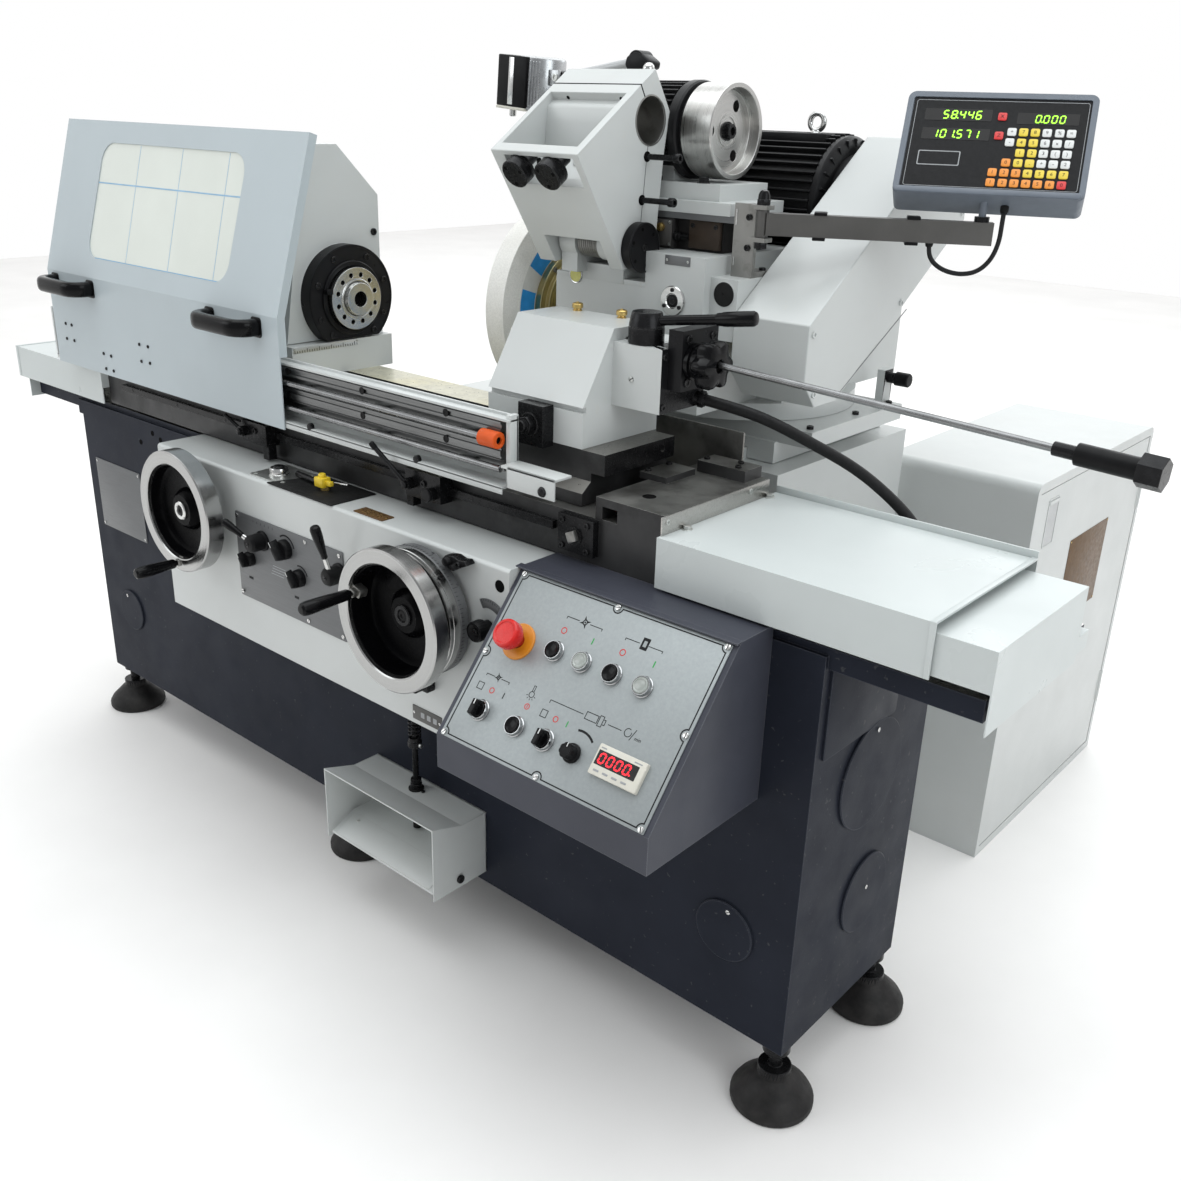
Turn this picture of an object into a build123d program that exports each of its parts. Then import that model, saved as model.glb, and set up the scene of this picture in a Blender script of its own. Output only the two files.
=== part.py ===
"""Universal cylindrical grinder, built as an assembly of separate pieces.

Millimetres, +Z up, +X to the operator's right, +Y away from the operator.
The origin is the middle of the floor area under the machine. All sizes below
are given from the bed's lower front right corner, and at() shifts them to
the origin.
"""
import os
from math import atan2, cos, degrees, hypot, radians, sin, sqrt, tan

from build123d import *

os.makedirs("parts", exist_ok=True)

# ---------------------------------------------------------------- dimensions
OX, OY, OZ = 869.0, -563.5, 105.0        # bed corner to the row's origin

BED_L, BED_D, BED_TOP = 1797.0, 317.0, 612.0
WAY_L, WAY_R = -1992.0, 195.0            # ends of the overhanging way beam
FLOOR = -105.0
REAR_X0, REAR_X1, REAR_Y = -1080.0, -300.0, 760.0

TABLE_X0, TABLE_X1, TABLE_Y = -1668.0, -251.0, 262.0
TABLE_Z0, TABLE_Z1 = 640.5, 697.0
UPPER_X0, UPPER_X1 = -1600.0, -388.0
UPPER_Z0, UPPER_Z1 = 698.0, 772.0
SWIVEL_X, SWIVEL_Y = -965.0, 120.0       # upper table pivot

AXIS_Y, AXIS_Z = 140.0, 897.0            # work axis (workhead and tailstock)
WHEEL_Y, WHEEL_Z, WHEEL_R = 378.0, 897.0, 166.0
WHEEL_X0, WHEEL_X1 = -797.0, -757.0
HEAD_X, HEAD_Y = -520.0, 545.0           # wheelhead swivel axis
MOTOR_Y, MOTOR_Z, MOTOR_R = 600.0, 1080.0, 95.0
IMOT_Y, IMOT_Z, IMOT_R = 397.0, 1183.0, 62.0
PIVOT_Y, PIVOT_Z = 265.0, 1020.0         # internal attachment pivot
BORE_Y, BORE_Z, BORE_R = 287.0, 1195.0, 33.0

TRAV_X, TRAV_Z, TRAV_R = -1189.0, 545.0, 107.0
INF_X, INF_Z, INF_R = -605.0, 525.0, 108.0

LIP_Y, LIP_Z = -232.0, 435.0             # console slope, lower edge
SLOPE = hypot(163.0, 195.0)
DY, DZ = 163.0 / SLOPE, 195.0 / SLOPE    # up the slope
NY, NZ = -DZ, DY                         # out of the slope

RUN = 0.4                                # running clearance


# ------------------------------------------------------------------- helpers
def at(x, y, z):
    return Vector(x + OX, y + OY, z + OZ)


def block(x0, x1, y0, y1, z0, z1, mode=Mode.ADD):
    with Locations(at((x0 + x1) / 2, (y0 + y1) / 2, (z0 + z1) / 2)):
        Box(x1 - x0, y1 - y0, z1 - z0, mode=mode)


def bar_x(x0, x1, y, z, r, mode=Mode.ADD):
    with Locations(Location(at((x0 + x1) / 2, y, z), (0, 90, 0))):
        Cylinder(r, x1 - x0, mode=mode)


def bar_y(y0, y1, x, z, r, mode=Mode.ADD):
    with Locations(Location(at(x, (y0 + y1) / 2, z), (90, 0, 0))):
        Cylinder(r, y1 - y0, mode=mode)


def bar_z(z0, z1, x, y, r, mode=Mode.ADD):
    with Locations(at(x, y, (z0 + z1) / 2)):
        Cylinder(r, z1 - z0, mode=mode)


def strut(p, q, r, mode=Mode.ADD):
    """A round rod from p to q."""
    a, b = at(*p), at(*q)
    with BuildSketch(Plane(origin=a, z_dir=b - a)) as sk:
        Circle(r)
    extrude(sk.sketch, amount=(b - a).length, mode=mode)


def slab_x(x0, x1, pts, mode=Mode.ADD):
    """A profile of (y, z) points run along X."""
    plane = Plane(origin=at(x0, 0, 0), x_dir=(0, 1, 0), z_dir=(1, 0, 0))
    with BuildSketch(plane) as sk:
        with BuildLine():
            Polyline(*pts, close=True)
        make_face()
    extrude(sk.sketch, amount=x1 - x0, mode=mode)


def slab_z(z0, z1, pts, mode=Mode.ADD):
    """A profile of (x, y) points run along Z."""
    with BuildSketch(Plane(origin=at(0, 0, z0))) as sk:
        with BuildLine():
            Polyline(*pts, close=True)
        make_face()
    extrude(sk.sketch, amount=z1 - z0, mode=mode)


def turn_x(pts, y, z, mode=Mode.ADD):
    """A turned shape about a line along X, from (x, radius) points."""
    plane = Plane(origin=at(0, y, z), x_dir=(1, 0, 0), z_dir=(0, -1, 0))
    with BuildSketch(plane) as sk:
        with BuildLine():
            Polyline(*pts, close=True)
        make_face()
    revolve(sk.sketch, axis=Axis(at(0, y, z), (1, 0, 0)), mode=mode)


def turn_y(pts, x, z, mode=Mode.ADD):
    """A turned shape about a line along Y, from (y, radius) points."""
    plane = Plane(origin=at(x, 0, z), x_dir=(0, 1, 0), z_dir=(1, 0, 0))
    with BuildSketch(plane) as sk:
        with BuildLine():
            Polyline(*pts, close=True)
        make_face()
    revolve(sk.sketch, axis=Axis(at(x, 0, z), (0, 1, 0)), mode=mode)


def turn_z(pts, x, y, mode=Mode.ADD):
    """A turned shape about an upright line, from (radius, z) points."""
    plane = Plane(origin=at(x, y, 0), x_dir=(1, 0, 0), z_dir=(0, -1, 0))
    with BuildSketch(plane) as sk:
        with BuildLine():
            Polyline(*pts, close=True)
        make_face()
    revolve(sk.sketch, axis=Axis(at(x, y, 0), (0, 0, 1)), mode=mode)


def inset(pts, d):
    """A convex profile moved inwards by d."""
    n = len(pts)
    area = sum(pts[i][0] * pts[(i + 1) % n][1] - pts[(i + 1) % n][0] * pts[i][1] for i in range(n))
    s = 1 if area > 0 else -1
    lines = []
    for i in range(n):
        (x0, y0), (x1, y1) = pts[i], pts[(i + 1) % n]
        length = hypot(x1 - x0, y1 - y0)
        nx, ny = -(y1 - y0) / length * s, (x1 - x0) / length * s
        lines.append(((x0 + nx * d, y0 + ny * d), (x1 - x0, y1 - y0)))
    out = []
    for i in range(n):
        (p, u), (q, v) = lines[i - 1], lines[i]
        det = u[0] * v[1] - u[1] * v[0]
        t = ((q[0] - p[0]) * v[1] - (q[1] - p[1]) * v[0]) / det
        out.append((p[0] + u[0] * t, p[1] + u[1] * t))
    return out


def panel(x, v, w=0.0):
    """Plane on the console slope: x along the machine, v up the slope, w out."""
    return Plane(
        origin=at(x, LIP_Y + v * DY + w * NY, LIP_Z + v * DZ + w * NZ),
        x_dir=(1, 0, 0),
        z_dir=(0, NY, NZ),
    )


def peg(x, v, w0, w1, r, mode=Mode.ADD):
    """A round piece square to the console slope."""
    with BuildSketch(panel(x, v, w0)) as sk:
        Circle(r)
    extrude(sk.sketch, amount=w1 - w0, mode=mode)


def peg_box(x, v, w0, w1, a, b, turn=0.0, mode=Mode.ADD):
    """A rectangular piece a by b square to the console slope."""
    with BuildSketch(panel(x, v, w0)) as sk:
        Rectangle(a, b, rotation=turn)
    extrude(sk.sketch, amount=w1 - w0, mode=mode)


def save(builder, name):
    builder.part.label = name
    export_step(builder.part, f"parts/{name}.step")


# ------------------------------------------------------- positions of details
FEET = [(-1778, 30), (-945, 22), (-22, 24), (-1778, 290), (-22, 296), (-1040, 728), (-345, 728)]
RAIL_X = [(-720, -680), (-430, -390)]    # cross slide guide rails
STOP_AT = (-379.0, 154.0)
BUTTONS = [(-318.0, 160.0), (-271.0, 160.0), (-221.0, 160.0), (-172.0, 160.0), (-321.0, 51.0)]
SELECTORS = [(-385.0, 51.0), (-270.0, 51.0)]
POT_AT = (-223.0, 51.0)
KNOBS = {
    "speed_knob": (-950.0, 525.0, 17.0),
    "dwell_knob_left": (-1054.0, 481.0, 13.0),
    "dwell_knob_right": (-915.0, 484.0, 15.0),
    "feed_knob": (-475.0, 534.0, 15.0),
}
LEVER_A, LEVER_B = (-1014.0, 523.0), (-809.0, 521.0)
PEDAL_Y, PEDAL_Z = -61.0, 39.0
ROD_X, ROD_Y = -721.0, -30.0

# ------------------------------------------------------------------- the base
with BuildPart() as bed:
    block(-BED_L, 0, 0, BED_D, 0, BED_TOP)
    block(-1812, -BED_L, 0, BED_D, 582, BED_TOP)
    block(REAR_X0, REAR_X1, BED_D, REAR_Y, 0, BED_TOP)
    block(REAR_X0, REAR_X1, 345, REAR_Y, BED_TOP, 700)
    # hollow inside, with cross ribs and a closed floor
    for i in range(9):
        x0 = -BED_L + 22 + i * 196.6
        block(x0, x0 + 180, 22, BED_D - 22, 14, 572, Mode.SUBTRACT)
    for i in range(4):
        x0 = REAR_X0 + 22 + i * 187.4
        block(x0, x0 + 173.6, BED_D + 22, REAR_Y - 22, 14, 590, Mode.SUBTRACT)
    # pads over the levelling feet
    for x, y in FEET:
        x0, x1 = max(x - 42, -BED_L), min(x + 42, 0)
        y0, y1 = (max(y - 42, 0), min(y + 42, BED_D)) if y < BED_D else (y - 42, min(y + 42, REAR_Y))
        block(x0, x1, y0, y1, 0, 45)
    # ways for the table, running past both ends of the bed
    block(WAY_L, WAY_R, 6, 300, 594, 622)
    slab_x(WAY_L, WAY_R, [(35, 622), (65, 652), (95, 622)])
    block(WAY_L, WAY_R, 215, 285, 621, 640)
    # guide rails for the wheel slide
    for x0, x1 in RAIL_X:
        block(x0, x1, 352, 752, 699, 718)
    for x, y in FEET:
        bar_z(-1, 40, x, y, 10.2, Mode.SUBTRACT)
save(bed, "bed")

with BuildPart() as levelling_feet:
    for x, y in FEET:
        turn_z(
            [(0, FLOOR), (58, FLOOR), (60, FLOOR + 3), (60, FLOOR + 12), (54, FLOOR + 22), (30, FLOOR + 46),
             (24, FLOOR + 49), (24, FLOOR + 64), (10, FLOOR + 64), (10, -16), (20, -16), (20, -0.2), (10, -0.2), (10, 38), (0, 38)],
            x, y,
        )
save(levelling_feet, "levelling_feet")

with BuildPart() as fixed_end_covers:
    # right: top, front, back and end plate, standing on the end of the ways
    block(60, 206, -11, 252, 688, 690)
    block(60, 206, -11, -9, 638, 690)
    block(60, 206, 250, 252, 645, 690)
    block(204, 206, -11, 252, 587, 690)
    block(195.2, 205, 30, 290, 596, 621)
    # left: the same, reaching under the table's own cover
    block(-2003, -1912, -11, 252, 680, 682)
    block(-2003, -1912, -11, -9, 636, 682)
    block(-2003, -1912, 250, 252, 645, 682)
    block(-2003, -2001, -11, 252, 587, 682)
    block(-2002, -1992.2, 30, 290, 596, 621)
save(fixed_end_covers, "fixed_end_covers")

with BuildPart() as apron:
    block(-1330, -437, -95, 0, 318, 628)
    block(-1318, -449, -83, 1, 330, 616, Mode.SUBTRACT)
    fillet(apron.part.edges().filter_by(Axis.X).group_by(Axis.Y)[0].sort_by(Axis.Z)[-1:], 6)
    bar_y(-108, -83, TRAV_X, TRAV_Z, 40)
    bar_y(-103, -83, INF_X, INF_Z, 45)
    bar_y(-110, -80, TRAV_X, TRAV_Z, 14.5, Mode.SUBTRACT)
    bar_y(-110, -80, INF_X, INF_Z, 14.5, Mode.SUBTRACT)
    for x, z in (LEVER_A, LEVER_B):
        bar_y(-96, -80, x, z, 6.4, Mode.SUBTRACT)
    for x, z, r in KNOBS.values():
        bar_y(-96, -80, x, z, 5.4, Mode.SUBTRACT)
    bar_z(317, 331, ROD_X, ROD_Y, 7, Mode.SUBTRACT)
save(apron, "apron")

CONSOLE = [(0, 383), (LIP_Y, 383), (LIP_Y, LIP_Z), (-69, 630), (0, 630)]
with BuildPart() as console_box:
    slab_x(-436, -76, CONSOLE)
    inner = inset(CONSOLE, 3)
    inner = [(1 if y > -4 else y, z) for y, z in inner]
    slab_x(-433, -79, inner, Mode.SUBTRACT)
    for x, v in BUTTONS:
        peg(x, v, -5, 2, 9.6, Mode.SUBTRACT)
    for x, v in SELECTORS + [POT_AT]:
        peg(x, v, -5, 2, 6.5, Mode.SUBTRACT)
    peg(*STOP_AT, -5, 2, 9.6, Mode.SUBTRACT)
save(console_box, "console_box")

with BuildPart() as pedal_box:
    block(-858, -583, -117, 0, 134.5, 137)
    block(-858, -855.5, -117, 0, 22, 137)
    block(-585.5, -583, -117, 0, 22, 137)
    block(-858, -583, -2.5, 0, 22, 137)
    bar_x(-863, -578, PEDAL_Y, PEDAL_Z, 4.5)
    bar_x(-863, -858, PEDAL_Y, PEDAL_Z, 7)
    bar_x(-583, -578, PEDAL_Y, PEDAL_Z, 7)
    bar_z(130, 140, ROD_X, ROD_Y, 8, Mode.SUBTRACT)
save(pedal_box, "pedal_box")

CAB = (-345, -62, 795, 1395, FLOOR, 640)
with BuildPart() as cabinet:
    block(*CAB)
    fillet(cabinet.part.edges().filter_by(Axis.X).group_by(Axis.Z)[-1], 18)
    block(-342, -72, 803, 1387, -102, 632, Mode.SUBTRACT)
    block(-80, -60, 810, 1380, -88, 622, Mode.SUBTRACT)
    for z in (20, 470):
        bar_z(z - 1, z + 71, -62, 1379.5, 4.2, Mode.SUBTRACT)
    # wiring duct to the bed, and the switchgear plate inside
    block(-345, -305, REAR_Y + 0.2, 796, 300, 360)
    block(-342, -334, 830, 1360, -60, 600)
    for z, h in ((430, 110), (270, 110), (60, 150)):
        for k in range(5):
            y0 = 860 + k * 96
            block(-335, -270, y0, y0 + 80, z, z + h)
save(cabinet, "cabinet")

with BuildPart() as cabinet_door:
    block(-71.5, -63, 812, 1378, -86, 620)
    for z in (20, 470):
        bar_z(z, z + 70, -62, 1379.5, 3)
        block(-66, -62, 1372, 1379, z, z + 70)
save(cabinet_door, "cabinet_door")

# ------------------------------------------------------------------ the table
with BuildPart() as lower_table:
    block(TABLE_X0, TABLE_X1, 0, TABLE_Y, TABLE_Z0, TABLE_Z1)
    block(TABLE_X0, TABLE_X1, 0, 14, 629, 645)
    slab_x(TABLE_X0 - 1, TABLE_X1 + 1, [(33.6, 621), (65, 652.8), (96.4, 621)], Mode.SUBTRACT)
    # rail for the trip dogs, and its end stop
    block(-1600, -438, -9, 0, 666, 678)
    block(-425, -361, -12, 0, 643, 695)
    # pivot for the upper table, and the raised end block with its adjusting plates
    bar_z(696, 712, SWIVEL_X, SWIVEL_Y, 20)
    block(-368, -251, 0, 240, 696, 728)
    block(-356, -330, -1, 30, 698, 716, Mode.SUBTRACT)
    bar_z(706, 729, -317, 51, 9, Mode.SUBTRACT)
    block(-384, -336, 112, 180, 727, 737)
    block(-345, -262, 196, 238, 727, 745)
save(lower_table, "lower_table")

with BuildPart() as moving_end_covers:
    block(-251, 135, -15, 266, 701, 703)
    block(-251, 135, -15, -13, 634, 703)
    block(-251, 135, 264, 266, 644, 703)
    block(-250.8, -248, -14, 265, 660, 702)
    block(-2035, -1668.2, -15, 266, 691, 693)
    block(-2035, -1668.2, -15, -13, 628, 693)
    block(-2035, -1668.2, 264, 266, 644, 693)
    block(-1671, -1668.2, -14, 265, 660, 692)
save(moving_end_covers, "moving_end_covers")

with BuildPart() as trip_dog_left:
    block(-1162, -1090, -26, -0.6, 655, 692)
    block(-1163, -1089, -9.6, 0, 665.4, 678.6, Mode.SUBTRACT)
    block(-1104, -1088, -24, -8, 632, 660)
    bar_y(-38, -24, -1150, 674, 9)
    strut((-1150, -33, 674), (-1188, -40, 697), 3.5)
save(trip_dog_left, "trip_dog_left")

with BuildPart() as trip_dog_right:
    block(-728, -650, -26, -0.6, 655, 697)
    block(-729, -649, -9.6, 0, 665.4, 678.6, Mode.SUBTRACT)
    block(-728, -714, -24, -8, 638, 660)
    bar_y(-40, -24, -714, 676, 9)
    strut((-714, -36, 676), (-751, -70, 738), 3.8)
    bar_y(-38, -24, -664, 670, 10)
save(trip_dog_right, "trip_dog_right")

with BuildPart() as upper_table:
    slab_x(
        UPPER_X0, UPPER_X1,
        [(22, UPPER_Z0), (22, 716), (40, 730), (40, UPPER_Z1), (196, UPPER_Z1), (196, 740), (225, 716), (225, UPPER_Z0)],
    )
    bar_z(697, 716, SWIVEL_X, SWIVEL_Y, 20.4, Mode.SUBTRACT)
    # T slot
    block(UPPER_X0 - 1, -450, 112, 126, 752, 773, Mode.SUBTRACT)
    block(UPPER_X0 - 1, -450, 106, 132, 742, 753, Mode.SUBTRACT)
    # right end, cut away below
    block(-412, UPPER_X1 + 1, 0, 223, 690, 742, Mode.SUBTRACT)
    bar_x(-396, UPPER_X1 + 1, 169, 758, 5, Mode.SUBTRACT)
    # rear bracket: splash plate and the bar that carries the hose
    block(-470, -400, 224, 320, 702, 710)
    block(-470, -310, 258, 262, 709, 780)
    block(-420, -400, 312, 320, 655, 710)
    block(-420, -4, 312, 320, 655, 680)
    strut((-30, 302, 664), (-18, 302, 644.5), 9)
    block(-26, -4, 300, 320, 638, 656)
    # workhead base plate with its pivot
    block(-1452, -1052, 12, 226, UPPER_Z1, 826)
    bar_z(825, 836, -1255, 122, 25)
save(upper_table, "upper_table")

with BuildPart() as guard_rail:
    block(-1781, -520, -29, -15, 734, 806)
    bar_x(-1778, -554, -36, 782, 5)
    bar_x(-1778, -512, -36, 742, 5)
    bar_x(-549, -515, -36, 782, 12)
    bar_x(-530, -514, -36, 782, 5.5, Mode.SUBTRACT)
    block(-1782, -1776, -44, -14, 720, 812)
    block(-1781, -502, -15, -11, 714, 816)
    block(-1781, -502, -44, -11, 716, 720)
    block(-1781, -502, -30, -11, 808, 812)
    block(-511, -502, -27, -11, 718, 818)
    block(-502.5, -402, -46, -11, 748, 752)
    block(-490, -402, -46, -43, 722, 752)
    for x in (-1560, -1210, -860, -640):
        block(x, x + 60, -12, 39.8, 738, 766)
save(guard_rail, "guard_rail")

# --------------------------------------------------------- sliding splash guard
GY0, GZ0, GZ1 = -47.0, 706.0, 887.0
GY2, GZ2 = 37.0, 1163.0
GX0, GX1 = -1766.0, -1003.0
GL = hypot(GY2 - GY0, GZ2 - GZ1)
TY, TZ = (GY2 - GY0) / GL, (GZ2 - GZ1) / GL
WIN_X, WIN_S, WIN_W, WIN_H, WIN_R = -1388.5, 143.3, 463.0, 213.0, 36.0


def guard_strip(depth):
    """Bent profile of the guard, so thick towards the machine."""
    bend = depth * tan(0.5 * atan2(GY2 - GY0, GZ2 - GZ1))
    return [
        (GY0, GZ0), (GY0, GZ1), (GY2, GZ2),
        (GY2 + depth * TZ, GZ2 - depth * TY), (GY0 + depth, GZ1 - bend), (GY0 + depth, GZ0),
    ]


with BuildPart() as guard_shell:
    slab_x(GX0, GX1, guard_strip(15))
    bend = tan(0.5 * atan2(GY2 - GY0, GZ2 - GZ1))
    slab_x(
        GX0 + 2, GX1 - 2,
        [(GY0 + 2, GZ0 - 5), (GY0 + 2, GZ1 - 2 * bend), (GY2 + 2 * TZ - 2 * TY, GZ2 - 2 * TY - 2 * TZ),
         (GY2 + 18 * TZ - 2 * TY, GZ2 - 18 * TY - 2 * TZ), (GY0 + 18, GZ1 - 18 * bend), (GY0 + 18, GZ0 - 5)],
        Mode.SUBTRACT,
    )
    with BuildSketch(Plane(origin=at(WIN_X, GY0 + WIN_S * TY, GZ1 + WIN_S * TZ), x_dir=(1, 0, 0), z_dir=(0, -TZ, TY))) as win:
        RectangleRounded(WIN_W, WIN_H, WIN_R)
    extrude(win.sketch, amount=6, both=True, mode=Mode.SUBTRACT)
    for x in (GX0, GX1):
        block(x - 3, x + 3, GY0 + 2, GY0 + 18, GZ0 - 2, 824, Mode.SUBTRACT)
    for x in (-1700, -1130):
        block(x, x + 60, -45.5, -29.5, 729, 795)
        bar_x(x - 1, x + 61, -36, 782, 5.4, Mode.SUBTRACT)
        bar_x(x - 1, x + 61, -36, 742, 5.4, Mode.SUBTRACT)
save(guard_shell, "guard_shell")

with BuildPart() as guard_window:
    with BuildSketch(Plane(origin=at(WIN_X, GY0 + WIN_S * TY + 2 * TZ, GZ1 + WIN_S * TZ - 2 * TY), x_dir=(1, 0, 0), z_dir=(0, TZ, -TY))) as pane:
        RectangleRounded(WIN_W + 16, WIN_H + 16, WIN_R + 8)
    extrude(pane.sketch, amount=3)
save(guard_window, "guard_window")

with BuildPart() as guard_handles:
    for x0 in (-1745, -1205):
        x1 = x0 + 155
        block(x0, x0 + 24, -94, GY0, 854, 878)
        block(x1 - 24, x1, -94, GY0, 854, 878)
        block(x0, x1, -94, -72, 854, 878)
    fillet(guard_handles.part.edges().filter_by(Axis.Z), 7)
    fillet(guard_handles.part.edges().filter_by(Axis.X).group_by(Axis.Y)[0], 7)
save(guard_handles, "guard_handles")

# ------------------------------------------------------------------- workhead
HEADSTOCK = [(20, 827), (75, 1143), (142, 1143), (225, 1061), (225, 827)]
with BuildPart() as workhead_body:
    slab_x(-1440, -1075, HEADSTOCK)
    slab_x(-1441, -1140, inset(HEADSTOCK, 10), Mode.SUBTRACT)
    bar_x(-1141, -1074, AXIS_Y, AXIS_Z, 33.4, Mode.SUBTRACT)
    bar_z(826, 838, -1255, 122, 25.4, Mode.SUBTRACT)
    slab_x(-1443, -1440, HEADSTOCK)
    # bearing cap round the nose, flat below
    bar_x(-1075, -1050, AXIS_Y, AXIS_Z, 88)
    block(-1075, -1049, 30, 250, 790, 829, Mode.SUBTRACT)
    bar_x(-1076, -1049, AXIS_Y, AXIS_Z, 53, Mode.SUBTRACT)
save(workhead_body, "workhead_body")

with BuildPart() as work_spindle:
    turn_x(
        [(-1402, 13), (-1402, 52), (-1378, 52), (-1378, 33), (-1064, 33), (-1064, 52), (-1036, 52), (-1036, 29), (-1026, 27), (-1026, 13)],
        AXIS_Y, AXIS_Z,
    )
    for k in range(12):
        a = radians(15 + 30 * k)
        bar_x(-1056, -1035, AXIS_Y + 40 * cos(a), AXIS_Z + 40 * sin(a), 4, Mode.SUBTRACT)
save(work_spindle, "work_spindle")

# ------------------------------------------------------------------ tailstock
with BuildPart() as tailstock_body:
    slab_x(
        -614, -430,
        [(40, 772.3), (40, 822), (47, 822), (47, 830), (40, 830), (101, 931), (188, 931), (205, 914), (205, 772.3)],
    )
    # valve block and end plates on the right
    block(-431, -362, 100, 200, 826, 914)
    block(-363, -345, 100, 200, 826, 914)
    block(-346, -322, 114, 194, 859, 940)
    strut((-353, 183.5, 838), (-333, 190, 835), 10)
    # clamp on the front
    block(-532, -484, 18, 39.6, 767, 826)
    block(-532, -484, 38, 41, 776, 822)
    bar_y(-2, 19, -508, 798, 8)
    # quill bore, rod passage, star knob hub, lever pin
    bar_x(-615, -420, AXIS_Y, AXIS_Z, 22.4, Mode.SUBTRACT)
    bar_x(-421, -321, AXIS_Y, AXIS_Z, 14, Mode.SUBTRACT)
    bar_x(-341, -321, AXIS_Y, AXIS_Z, 20.4, Mode.SUBTRACT)
    bar_z(912 - 8, 915, -392, 124, 8.4, Mode.SUBTRACT)
    # oil cups
    for x in (-567, -482):
        bar_z(930, 938, x, 179, 5)
        bar_z(937, 941, x, 179, 8)
save(tailstock_body, "tailstock_body")

with BuildPart() as tailstock_quill:
    turn_x(
        [(-668, 0), (-640, 15), (-634, 15), (-634, 22), (-455, 22), (-455, 0)],
        AXIS_Y, AXIS_Z,
    )
save(tailstock_quill, "tailstock_quill")

LEVER_END = (-228.0, 142.0, 966.0)
with BuildPart() as quill_lever:
    bar_z(914.6, 957, -392, 124, 23)
    bar_z(905, 915, -392, 124, 8)
    strut((-392, 124, 944), LEVER_END, 6.8)
    p = [a + (b - a) * 0.68 for a, b in zip((-392, 124, 944), LEVER_END)]
    strut(tuple(p), LEVER_END, 10)
save(quill_lever, "quill_lever")

with BuildPart() as star_knob:
    turn_x([(-340, 14), (-340, 20), (-321.4, 20), (-321.4, 25), (-303, 25), (-303, 22), (-300, 22), (-300, 27), (-268, 27), (-264, 23), (-264, 14)], AXIS_Y, AXIS_Z)
    for k in range(6):
        a = radians(60 * k)
        bar_x(-298, -268, AXIS_Y + 26 * cos(a), AXIS_Z + 26 * sin(a), 8)
    bar_x(-341, -263, AXIS_Y, AXIS_Z, 14, Mode.SUBTRACT)
save(star_knob, "star_knob")

ROD_DIR = Vector(522, -16, -21).normalized()


def on_rod(x):
    t = (x + 282) / ROD_DIR.X
    return (x, 137.5 + ROD_DIR.Y * t, 899.5 + ROD_DIR.Z * t)


with BuildPart() as ejector_rod:
    strut(on_rod(-400), on_rod(190), 4.5)
    strut(on_rod(178), on_rod(206), 8)
    strut(on_rod(204), on_rod(272), 12.5)
    with BuildSketch(Plane(origin=at(*on_rod(271)), z_dir=ROD_DIR)) as hexagon:
        RegularPolygon(19, 6)
    extrude(hexagon.sketch, amount=26)
save(ejector_rod, "ejector_rod")

# -------------------------------------------------------- cords: hose and lead


def corner_radii(points):
    """As large an arc at each corner as its two runs allow."""
    out = []
    for a, b, c in zip(points, points[1:], points[2:]):
        u, v = b - a, c - b
        turn = radians(u.get_angle(v))
        out.append(0.45 * min(u.length, v.length) / tan(turn / 2))
    return out


HOSE_R = 8.0
HOSE = [(-333, 190, 835), (-293, 203, 829), (-248, 226, 815), (-192, 259, 790), (-137, 286, 758), (-86, 299, 722), (-46, 302, 690), (-30, 302, 664)]
with BuildPart() as hydraulic_hose:
    route = [at(*p) for p in HOSE]
    radii = corner_radii(route)
    print("hose radii", [round(r) for r in radii])
    with BuildLine() as hose_line:
        FilletPolyline(*route, radius=radii)
    with BuildSketch(Plane(origin=route[0], z_dir=route[1] - route[0])) as hose_ring:
        Circle(HOSE_R)
    sweep(hose_ring.sketch, path=hose_line.line)
    run = sum(e.length for e in hose_line.edges())
    print("hose length", round(run, 1), "volume ratio", round(hydraulic_hose.part.volume / (run * 3.14159265 * HOSE_R**2), 4))
save(hydraulic_hose, "hydraulic_hose")

# ---------------------------------------------------- wheel slide and wheelhead
with BuildPart() as wheel_slide:
    block(-735, -280, 400, 690, 734, 760)
    block(-735, -340, 392, 740, 701, 735)
    for x0, x1 in RAIL_X:
        block(x0 - 0.6, x1 + 0.6, 340, 760, 700, 718.8, Mode.SUBTRACT)
    bar_z(759, 772, HEAD_X, HEAD_Y, 30)
    block(-318, -304, 662, 690, 759, 816)
    bar_x(-305, -265, 676, 803, 9)
save(wheel_slide, "wheel_slide")

with BuildPart() as wheelhead_body:
    bar_z(760.6, 788, HEAD_X, HEAD_Y, 200)
    block(-694, -405, 270, 522, 786, 1015)
    block(-694, -357.2, 430, 800, 786, 985)
    block(-406, -357.2, 285, 432, 900, 988)
    block(-712, -514, 268, 345, 962, 1016, Mode.SUBTRACT)
    # lug for the internal attachment's pivot
    block(-662, -630, 247, 346, 975, 1014)
    bar_x(-662, -630, PIVOT_Y, PIVOT_Z, 25)
    bar_x(-695, -356, WHEEL_Y, WHEEL_Z, 30.6, Mode.SUBTRACT)
    bar_z(760, 773, HEAD_X, HEAD_Y, 30.5, Mode.SUBTRACT)
    # pivot pin and its cap
    bar_x(-706, -528, PIVOT_Y, PIVOT_Z, 14)
    bar_x(-529, -514, PIVOT_Y, PIVOT_Z, 36)
    # post for the readout arm
    block(-394, -358, 318, 326, 987, 1090)
    block(-394, -358, 318, 372, 987, 996)
    block(-362, -334, 308, 328, 1084, 1090)
    block(-362, -334, 308, 328, 1040, 1046)
    bar_z(1041, 1089, -346, 318, 4.8)
    # lamp base
    bar_z(1014, 1040, -660, 484, 22)
    bar_z(1020, 1041, -660, 484, 8.4, Mode.SUBTRACT)
save(wheelhead_body, "wheelhead_body")

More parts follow.
